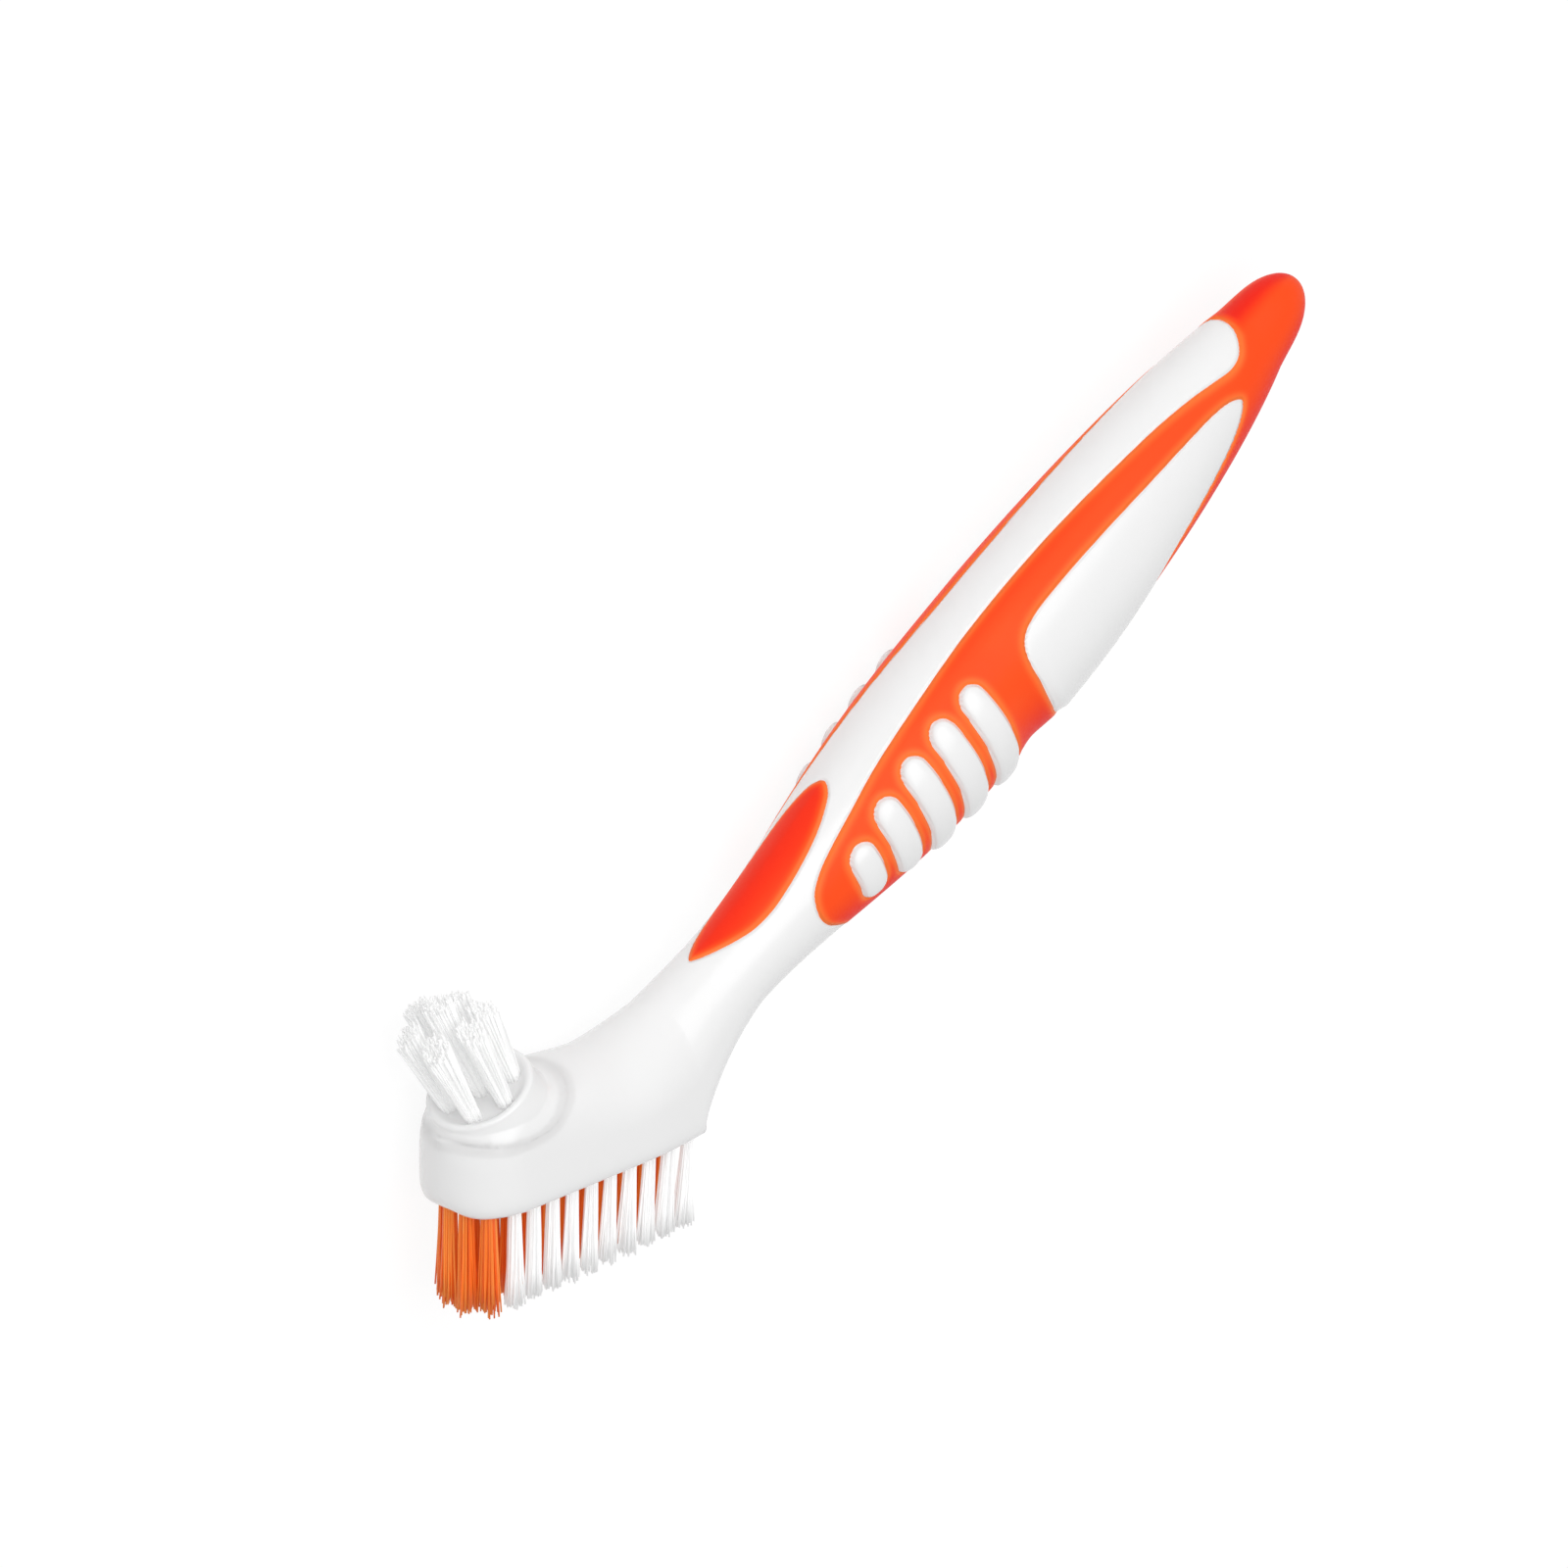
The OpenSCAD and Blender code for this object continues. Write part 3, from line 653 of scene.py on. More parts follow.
@dataclass(frozen=True)
class SoftTouchElastomer:
    """Orange thermoplastic elastomer moulded over the white core.

    It lets some light through to the white plastic under it, so it is lighter where it is thin beside
    its edges. Its deep red along the top and the underside of the handle is painted shade, where the
    surface turns away from the light. Its surface is satin and rubbery.
    """

    thin: str = "ff7a34"
    middle: str = "ff4d12"
    shaded_thick: str = "f42004"
    roughness: float = 0.5

    def material(self) -> bpy.types.Material:
        """Builds the material.

        Returns:
            The material.
        """
        mat, tree = blank_material("elastomer_overmoulded_orange")
        where = add(tree, "ShaderNodeTexCoord").outputs["Object"]
        # The depth value holds the skin's thinness at its edges and painted shade together: it nears 1 along
        # the top and the underside of the handle, where the surface turns from the light.
        depth = add(tree, "ShaderNodeAttribute", attribute_name="depth")
        # Pigment clouds from the flow of the melt, some 12 mm long.
        flow = add(tree, "ShaderNodeTexNoise", {"Vector": where, "Scale": 80.0, "Detail": 2.0})
        # Matt grain of the spark-eroded mould, 0.3 mm.
        grain = add(tree, "ShaderNodeTexNoise", {"Vector": where, "Scale": 3300.0, "Detail": 1.0})
        uneven = add(tree, "ShaderNodeMapRange", {"Value": flow.outputs[0], "To Min": -0.08, "To Max": 0.08})
        total = add(tree, "ShaderNodeMath", {0: depth.outputs["Fac"], 1: uneven.outputs[0]},
                    operation="ADD", use_clamp=True)
        # The ramp runs from light orange at the thin edges to deep red, which is painted shade.
        ramp = add(tree, "ShaderNodeValToRGB", {"Fac": total.outputs[0]})
        ramp.color_ramp.elements[0].color = linear(self.thin)
        ramp.color_ramp.elements[1].color = linear(self.shaded_thick)
        ramp.color_ramp.elements.new(0.4).color = linear(self.middle)
        rough = add(tree, "ShaderNodeMapRange", {
            "Value": grain.outputs[0], "From Min": 0.3, "From Max": 0.7,
            "To Min": self.roughness - 0.04, "To Max": self.roughness + 0.06})
        # The skin's rim rolls down into the seam over 0.45 mm.
        bump = add(tree, "ShaderNodeBump", {"Height": grain.outputs[0], "Distance": 0.00001, "Strength": 0.35,
                                            "Normal": rolled_edge(tree, 0.45, 0.00015)})
        shader = add(tree, "ShaderNodeBsdfPrincipled", {
            "Base Color": ramp.outputs[0], "Roughness": rough.outputs[0], "IOR": 1.5,
            "Specular IOR Level": 0.2, "Normal": bump.outputs[0]})
        add(tree, "ShaderNodeOutputMaterial", {"Surface": shader.outputs[0]})
        return mat


@dataclass(frozen=True)
class NylonFilament:
    """Drawn nylon filament: smooth, a little see-through, each strand a shade off the next."""

    name: str
    light: str
    shade: str
    roughness: float = 0.32
    clear: float = 0.15
    painted_glow: float = 0.08

    def material(self) -> bpy.types.Material:
        """Builds the material.

        Returns:
            The material.
        """
        mat, tree = blank_material(self.name)
        strand = add(tree, "ShaderNodeAttribute", attribute_name="strand").outputs["Fac"]
        tone = add(tree, "ShaderNodeMix", {
            "Factor": strand, "A": linear(self.shade), "B": linear(self.light)}, data_type="RGBA")
        rough = add(tree, "ShaderNodeMapRange", {
            "Value": strand, "To Min": self.roughness, "To Max": self.roughness + 0.12})
        # Nylon has an IOR of 1.53. The strands also give off a faint glow of their own, a painted light that
        # lifts the shade inside the bundles.
        skin = add(tree, "ShaderNodeBsdfPrincipled", {
            "Base Color": tone.outputs["Result"], "Roughness": rough.outputs[0], "IOR": 1.53,
            "Emission Color": tone.outputs["Result"], "Emission Strength": self.painted_glow})
        # Light passes through the thin strands, so a bundle glows rather than shades itself.
        through = add(tree, "ShaderNodeBsdfTranslucent", {"Color": tone.outputs["Result"]})
        both = add(tree, "ShaderNodeMixShader", {0: self.clear, 1: skin.outputs[0], 2: through.outputs[0]})
        add(tree, "ShaderNodeOutputMaterial", {"Surface": both.outputs[0]})
        return mat


@dataclass(frozen=True)
class RolledAnchorStrip:
    """Thin nickel silver strip, rolled and cut: bright with fine lines along it."""

    colour: str = "c9c3b4"

    def material(self) -> bpy.types.Material:
        """Builds the material.

        Returns:
            The material.
        """
        mat, tree = blank_material("nickel_silver_rolled")
        where = add(tree, "ShaderNodeTexCoord").outputs["Object"]
        # Rolling lines, 0.05 mm apart, run across the width of the strip.
        lines = add(tree, "ShaderNodeMapping", {"Vector": where, "Scale": (900.0, 20000.0, 900.0)})
        rolled = add(tree, "ShaderNodeTexNoise", {"Vector": lines.outputs[0], "Scale": 1.0, "Detail": 1.0})
        rough = add(tree, "ShaderNodeMapRange", {"Value": rolled.outputs[0], "To Min": 0.22, "To Max": 0.42})
        shader = add(tree, "ShaderNodeBsdfPrincipled", {
            "Base Color": linear(self.colour), "Metallic": 1.0, "Roughness": rough.outputs[0]})
        add(tree, "ShaderNodeOutputMaterial", {"Surface": shader.outputs[0]})
        return mat


class Side(Enum):
    """The two long sides of the brush, by the sign of their sideways position."""

    LEFT = 1
    RIGHT = -1


@dataclass
class SeatForm:
    """The round seat of the small brush and how it grows out of the head.

    The fillet between them is blend_least wide where the seat's wall sinks into the head and grows
    by blend_gain for each mm of wall that stands clear, up to blend. It sets in over lip_run below
    the lip, and fades out over fade below the wall's foot. The joined surface is followed in steps
    of stride, each one nudged onto it, until the bare head is close, and then for spare more. Past
    its last row the skirt dips under the head, by the second number of dips at the first.
    """

    form: BodyForm
    radius: float = 6.5
    rim_w: float = 0.9
    depth: float = 0.95
    floor_mid: float = 1.8
    floor_r: float = 3.2
    bowl_w: float = 1.9
    bowl_power: float = 1.25
    bowl_rows: int = 15
    eye: float = 0.01
    draft: float = 5.0
    blend: float = 2.4
    blend_least: float = 0.5
    blend_gain: float = 0.5
    lip_run: float = 1.1
    fade: float = 4.5
    heart_depth: float = 4.5
    front_rings: int = 90
    head_rings: int = 150
    head_share: float = 0.9
    columns: int = 540
    turns: int = 160
    rows: int = 44
    row_power: float = 1.35
    stride: float = 0.22
    most_steps: int = 160
    lip_steps: int = 8
    lip_stride: float = 0.4
    probe: float = 0.02
    nudges: int = 3
    least_slope: float = 0.05
    spare: float = 7.5
    close: float = 0.008
    deepest: float = 6.0
    wall_step: float = 0.1
    smoothings: int = 40
    even_over: int = 6
    dips: tuple[tuple[float, float], ...] = ((0.3, 0.004), (0.6, 0.016), (0.9, 0.04), (1.2, 0.1))

    def __post_init__(self) -> None:
        """Sets the seat's middle and axes, and the head from which it grows."""
        a = math.radians(self.form.seat_tilt)
        self.middle = np.array([-self.form.seat_back, self.form.seat_h, 0.0])
        self.out = np.array([math.cos(a), math.sin(a), 0.0])
        self.up = np.array([-math.sin(a), math.cos(a), 0.0])
        rings = np.vstack([self.form.front_rings(np.linspace(1, 90, self.front_rings)[:-1]),
                           self.form.head_rings(np.linspace(0, self.head_share, self.head_rings))])
        head = self.form.points(rings, np.arange(self.columns)[None, :] * 360 / self.columns)
        self.tree = BVHTree.FromPolygons(head.reshape(-1, 3).tolist(), grid_faces(*head.shape[:2]).tolist())

    def near_head(self, p: np.ndarray) -> tuple[float, Vector]:
        """Finds the bare head's nearest place to a point.

        Args:
            p: The point.

        Returns:
            Its distance from the head, negative inside it, and the head's outward direction there.
        """
        near, normal = self.tree.find_nearest(Vector(p))[:2]
        gap = Vector(p) - near
        return math.copysign(gap.length, gap.dot(normal)), normal

    def off_head(self, p: np.ndarray) -> float:
        """Distance of a point from the bare head, negative inside it."""
        return self.near_head(p)[0]

    def off_both(self, ray: np.ndarray, q: np.ndarray, free: float) -> float:
        """Measures how far a point lies outside the head and seat as joined by a round fillet.

        Args:
            ray: Direction of its half plane, square to the seat's axis.
            q: Its distance from the axis and its height over the rim.
            free: Height of the seat's wall that stands clear of the head there.

        Returns:
            The distance in mm, negative inside.
        """
        half = self.rim_w / 2
        y = q[1] + half
        x = q[0] - self.radius + half + min(y, 0) * math.tan(math.radians(self.draft))
        seat = math.hypot(max(x, 0), max(y, 0)) + min(max(x, y), 0) - half
        head, normal = self.near_head(self.place(ray, q))
        blend = min(self.blend_least + self.blend_gain * free, self.blend)
        # The lip keeps its own form; the fillet sets in below it and fades out under the wall's foot,
        # and where the wall runs along the head there is no corner to fill.
        share = float(ease(-q[1] / self.lip_run) * (1 - ease((-y - free) / self.fade)))
        share *= 1 - max(normal.dot(Vector(ray)), 0) ** 2
        return min(head, seat) - share * max(blend - abs(head - seat), 0) ** 2 / (4 * blend)

    def place(self, ray: np.ndarray, q: np.ndarray) -> np.ndarray:
        """Point at a distance from the seat's axis along a ray, and a height over its rim."""
        return self.middle + ray * q[0] + self.up * q[1]

    def fan(self, p: np.ndarray) -> tuple[np.ndarray, np.ndarray]:
        """Gives points as seen from the seat's heart, a point on its axis inside the head.

        Args:
            p: Points, one a row.

        Returns:
            Angle from the axis, and angle round it from 0 to 360.
        """
        rel = p - self.middle + self.up * self.heart_depth
        x, y, z = rel @ self.out, rel[:, 2], rel @ self.up
        return np.arctan2(np.hypot(x, y), z), np.degrees(np.arctan2(y, x)) % 360

    def free(self, ray: np.ndarray) -> float:
        """Finds how far the seat's wall stands clear of the head below the lip.

        Args:
            ray: Direction from the seat's axis, square to it.

        Returns:
            The clear height in mm.
        """
        z = -self.rim_w / 2
        while z > -self.deepest and self.off_head(self.place(ray, (self.radius, z))) > 0:
            z -= self.wall_step
        return -z - self.rim_w / 2

    def trace(self, ray: np.ndarray, free: float) -> tuple[np.ndarray, np.ndarray, float]:
        """Follows the joined surface from the top of the lip down to the bare head, in one half plane.

        Args:
            ray: Direction of the half plane, square to the axis.
            free: Height of the seat's wall that stands clear of the head there.

        Returns:
            Rows of distance from the axis and height over the rim, the way gone up to each row, and
            the way gone where the bare head is met; the rows go on past that.
        """
        q, way, h = np.array([self.radius - self.rim_w / 2, 0.0]), np.array([1.0, 0.0]), self.probe
        line, met = [q], 0
        while len(line) < self.most_steps and (not met or (len(line) - met) * self.stride < self.spare):
            q = q + way * self.stride * (self.lip_stride if len(line) < self.lip_steps else 1.0)
            for _ in range(self.nudges):
                g = self.off_both(ray, q, free)
                slope = np.array([self.off_both(ray, q + (h, 0), free) - g,
                                  self.off_both(ray, q + (0, h), free) - g]) / h
                q = q - slope * g / max(float(slope @ slope), self.least_slope)
            way = np.array([slope[1], -slope[0]]) / max(float(np.linalg.norm(slope)), 1e-6)
            line.append(q)
            past_lip = len(line) > self.lip_steps - 2
            if not met and past_lip and self.off_head(self.place(ray, q)) < self.close:
                met = len(line) - 1
        line = np.array(line)
        run = np.concatenate([[0], np.cumsum(np.linalg.norm(np.diff(line, axis=0), axis=1))])
        return line, run, float(run[met])

    def patch(self) -> tuple[np.ndarray, np.ndarray, np.ndarray]:
        """Builds the dished floor, the round lip and the skirt that runs down into the head.

        Returns:
            Points, faces, and for each direction round the axis how far down the skirt covers the head.
        """
        r, w, depth = self.radius, self.rim_w, self.depth
        # The dish rises in a soft curve from its flat floor to the round lip.
        t = np.linspace(0, 1, self.bowl_rows)[:-1]
        profile = [(self.eye, -depth), (self.floor_mid, -depth), (self.floor_r, -depth)]
        profile += list(zip(mix(r - w / 2 - self.bowl_w, r - w / 2, t),
                            -depth * (1 - ease(t ** self.bowl_power))))
        turn = np.linspace(0, 360, self.turns, endpoint=False)
        rays = [self.out * math.cos(a) + np.array([0, 0, math.sin(a)]) for a in np.radians(turn)]
        walls = np.array([self.free(ray) for ray in rays])
        for _ in range(self.smoothings):
            walls = (np.roll(walls, 1) + walls + np.roll(walls, -1)) / 3
        traced = [self.trace(ray, wall) for ray, wall in zip(rays, walls)]
        # Neighbouring directions end at nearly the same length, so that the skirt's rows run evenly.
        lengths = np.array([met for _, _, met in traced])
        shifts = range(-self.even_over, self.even_over + 1)
        lengths = np.max([np.roll(lengths, k) for k in shifts], axis=0)
        lengths = np.mean([np.roll(lengths, k) for k in shifts], axis=0)
        columns, reach = [], []
        for ray, (line, run, _), length in zip(rays, traced, lengths):
            at = length * np.linspace(0, 1, self.rows) ** self.row_power
            line = np.stack([np.interp(at, run, line[:, k]) for k in (0, 1)], -1)
            end, way = line[-1], line[-1] - line[-2]
            way = way / np.linalg.norm(way)
            deep = np.array([way[1], -way[0]])
            reach.append(math.atan2(end[0], end[1] + self.heart_depth))
            # Past its reach the skirt dips gently under the head, and ends there.
            dive = []
            for step, sink in self.dips:
                q = end + way * step
                for _ in range(self.nudges):
                    q = q + deep * self.off_head(self.place(ray, q))
                dive.append(q + deep * sink)
            columns.append([self.place(ray, q) for q in (*profile, *line, *dive)])
        grid = np.array(columns).transpose(1, 0, 2)
        covers = np.stack([[*turn, 360.0], [*reach, reach[0]]], -1)
        return grid.reshape(-1, 3), grid_faces(len(grid), self.turns)[:, ::-1], covers


@dataclass
class BodyShell:
    """The moulded body: white core, orange grip and thumb pad, on one grid of rings and columns.

    Each point of the grid carries its distance from the colour borders, positive within. White and
    orange lift off the plain loft by it, and dip under each other past their common border. A name
    that ends in _edge is the width over which a form sets in from the border. One that ends in _d
    or _t is a start and a length, in mm from the handle's end or in degrees from its top.
    """

    form: BodyForm
    layout: TwoColourLayout
    seat: SeatForm
    columns: int = 168
    ring_step: float = 0.35
    tail_run: float = 10.0
    tail_rings: int = 36
    tail_power: float = 1.7
    first_ring: float = 2.0
    front_rings: int = 26
    head_rings: int = 60
    neck_rings: int = 46
    measured_to: float = 115.0
    rib_proud: float = 0.75
    rib_round: float = 1.7
    skin_proud: float = 0.07
    dip: float = 1.2
    deepest: float = 0.9
    skin_edge: float = 0.5
    skin_over: float = 0.6
    pad_dome: float = 0.3
    dome_edge: float = 4.5
    panel_proud: float = 0.45
    belly_edge: float = 1.5
    belly_d: tuple[float, float] = (18.0, 26.0)
    belly_t: tuple[float, float] = (62.0, 50.0)
    hollow: float = 0.5
    hollow_at: float = 61.3
    hollow_w: float = 2.6
    hollow_edge: float = 1.5
    hollow_t: tuple[float, float] = (55.0, 40.0)
    thick_edge: float = 1.3
    # Painted shade on the orange: how far it turns deep red along the top and the underside of the handle,
    # along the thumb pad's middle, and at the handle's end point.
    shade_top_t: tuple[float, float] = (6.0, 34.0)
    shade_low_t: tuple[float, float] = (84.0, 45.0)
    pad_shade_t: tuple[float, float] = (0.0, 60.0)
    pad_shade: float = 0.85
    thin: float = 0.4
    tail_shade: float = 0.7
    under_seat: float = 0.06
    beyond: float = 9.0

    def measure(self) -> None:
        """Places the grid of the whole body and measures how far each point lies from the seams."""
        f = self.form
        self.theta = np.arange(self.columns) * 360 / self.columns
        tail = mix(-f.nose, self.tail_run, np.linspace(0, 1, self.tail_rings)[1:] ** self.tail_power)
        steps = np.arange(self.tail_run + self.ring_step, f.handle_len, self.ring_step)
        d = np.concatenate([steps[::-1], tail[::-1]])
        neck = np.linspace(0, 1, self.neck_rings)[:-1]
        stations = [f.front_rings(np.linspace(self.first_ring, 90, self.front_rings)[:-1]),
                    f.head_rings(np.linspace(0, 1, self.head_rings)[:-1]), f.neck_rings(neck)]
        self.head_rows = sum(len(s) for s in stations)
        rings = np.vstack([*stations, f.handle_rings(np.concatenate([[f.handle_len], d]))])
        self.base = f.points(rings, self.theta[None, :])
        self.rows = len(rings)
        self.tail_tip = f.points(f.handle_rings(np.array([-f.nose])), np.zeros(1))[0, 0]
        # The distance of each row from the handle's end; the head's rows are far beyond any border.
        self.row_d = np.concatenate([np.full(self.head_rows - len(neck), 1e3),
                                     f.handle_len + (1 - neck) * f.neck_mid, [f.handle_len], d])
        self.normal = self.normals(self.base)
        self.turn = np.where(self.theta > 180, 360 - self.theta, self.theta)
        dd, tt = np.meshgrid(self.row_d, self.turn, indexing="ij")
        on = dd < self.measured_to
        lines = self.layout.lines()
        places = {k: [f.on_handle(a) for a in v] for k, v in lines.items()}
        closed = {k: [np.vstack([a, a[:1]]) for a in v] if k != "grip" else v for k, v in places.items()}
        pts = self.base[on]
        pts[:, 2] = np.abs(pts[:, 2])
        whole = np.vstack([lines["grip"][0], [(-1, 180), (-1, 0)]])
        d1, t1 = dd[on], tt[on]
        in_panel = inside(lines["panel"][0], d1, t1)
        in_rib = np.zeros(len(d1), bool)
        for line in lines["ribs"]:
            in_rib |= inside(line, d1, t1)
        soft = inside(whole, d1, t1) & ~in_panel & ~in_rib
        far = distance(closed["grip"] + closed["panel"] + closed["ribs"], pts)
        self.soft = self.signed(on, soft, far)
        self.rib = self.signed(on, in_rib, distance(closed["ribs"], pts))
        self.panel = self.signed(on, in_panel, distance(closed["panel"], pts))
        self.pad = self.signed(on, inside(lines["pad"][0], d1, t1), distance(closed["pad"], pts))

    def signed(self, on: np.ndarray, within: np.ndarray, far: np.ndarray) -> np.ndarray:
        """Spreads distances over the whole grid, positive within and negative outside.

        Args:
            on: Where on the grid they were measured.
            within: Whether each lies within the area.
            far: How far each lies from its edge.

        Returns:
            A value for every point of the grid.
        """
        out = np.full(on.shape, -self.beyond)
        out[on] = np.where(within, far, -far)
        return out

    @staticmethod
    def normals(p: np.ndarray) -> np.ndarray:
        """Outward directions at the points of a grid that goes round.

        Args:
            p: Rings by columns by three.

        Returns:
            Unit vectors of the same shape.
        """
        along = np.gradient(p, axis=0)
        across = np.roll(p, -1, axis=1) - np.roll(p, 1, axis=1)
        n = np.cross(across, along)
        return n / np.maximum(np.linalg.norm(n, axis=-1, keepdims=True), 1e-9)

    def core_lift(self) -> np.ndarray:
        """Works out how far the white surface stands off the plain loft.

        Returns:
            A height in mm for each point of the grid, negative where it dips under the orange.
        """
        d, t = self.row_d[:, None], self.turn[None, :]
        sink = -np.clip(np.maximum(self.soft, self.pad) * self.dip, 0, self.deepest)
        x = np.clip(self.rib / self.rib_round, 0, 1)
        pillow = self.rib_proud * np.sqrt(1 - (1 - x) ** 2)
        belly = self.panel_proud * rise(d, self.belly_d) * rise(t, self.belly_t)
        belly = belly * ease(self.panel / self.belly_edge)
        return np.where(self.rib > 0, pillow, sink + np.where(self.panel > 0, belly, 0))

    def core(self, white: bpy.types.Material) -> bpy.types.Object:
        """Builds the white core with the seat of the small brush.

        Args:
            white: Its material.

        Returns:
            The finished piece.
        """
        p = (self.base + self.normal * self.core_lift()[..., None]).reshape(-1, 3)
        seam = np.minimum(np.abs(self.soft), np.abs(self.pad)).ravel()
        faces = grid_faces(self.rows, self.columns)
        patch, patch_faces, reach = self.seat.patch()
        fan, turn = self.seat.fan(p)
        limit = np.interp(turn, reach[:, 0], reach[:, 1])
        on_head = np.arange(len(fan)) < self.head_rows * self.columns
        covered = (fan < limit - self.under_seat) & on_head
        faces = faces[~covered[faces].all(axis=1)]
        tips = np.array([[*((self.base[0].min(0) + self.base[0].max(0)) / 2)[:2], 0], self.tail_tip])
        n = len(p)
        last = (self.rows - 1) * self.columns
        caps = [[j, n, (j + 1) % self.columns] for j in range(self.columns)]
        caps += [[last + j, last + (j + 1) % self.columns, n + 1] for j in range(self.columns)]
        seams = np.concatenate([seam, np.full(2 + len(patch), self.beyond)])
        every = [*faces.tolist(), *caps, *(np.asarray(patch_faces) + n + 2).tolist()]
        return used_piece("white_core", np.vstack([p, tips, patch]), every, {"seam": seams}, white)

    def skin(self, name: str, soft: np.ndarray, finish: bpy.types.Material) -> bpy.types.Object:
        """Builds an orange skin that lies in the core and dips under it at its edge.

        Args:
            name: Name of the piece.
            soft: Distance inside its edge at each point of the grid.
            finish: Its material.

        Returns:
            The finished piece.
        """
        d, t = self.row_d[:, None], self.turn[None, :]
        grip = name == "orange_grip"
        hollow = -self.hollow * np.exp(-((d - self.hollow_at) / self.hollow_w) ** 2) * rise(t, self.hollow_t)
        form = hollow * ease(soft / self.hollow_edge) if grip else self.pad_dome * ease(soft / self.dome_edge)
        lift = np.where(soft > 0, self.skin_proud * ease(soft / self.skin_edge) + form,
                        np.maximum(soft * self.dip, -self.deepest))
        # The skin is thin and light beside its edges. Along the top and the underside of the handle, along
        # the thumb pad's middle and at the handle's end point, the orange darkens to deep red: painted shade
        # where the surface turns away from the light.
        top = 1 - rise(t, self.shade_top_t) if grip else self.pad_shade * (1 - rise(t, self.pad_shade_t))
        share = np.maximum(top, rise(t, self.shade_low_t)) + 0 * d
        depth = ease(soft / self.thick_edge) * mix(self.thin, 1.0, share)
        p = (self.base + self.normal * lift[..., None]).reshape(-1, 3)
        faces = grid_faces(self.rows, self.columns)
        faces = faces[(soft.ravel()[faces] > -self.skin_over).any(axis=1)]
        faces = faces[self.row_d[faces[:, 0] // self.columns] < self.measured_to].tolist()
        seam, depth = soft.ravel(), depth.ravel()
        if grip:
            last, n = (self.rows - 1) * self.columns, len(p)
            p = np.vstack([p, self.tail_tip])
            faces += [[last + j, last + (j + 1) % self.columns, n] for j in range(self.columns)]
            seam, depth = np.append(seam, self.beyond), np.append(depth, self.tail_shade)
        return used_piece(name, p, faces, {"seam": seam, "depth": depth}, finish)


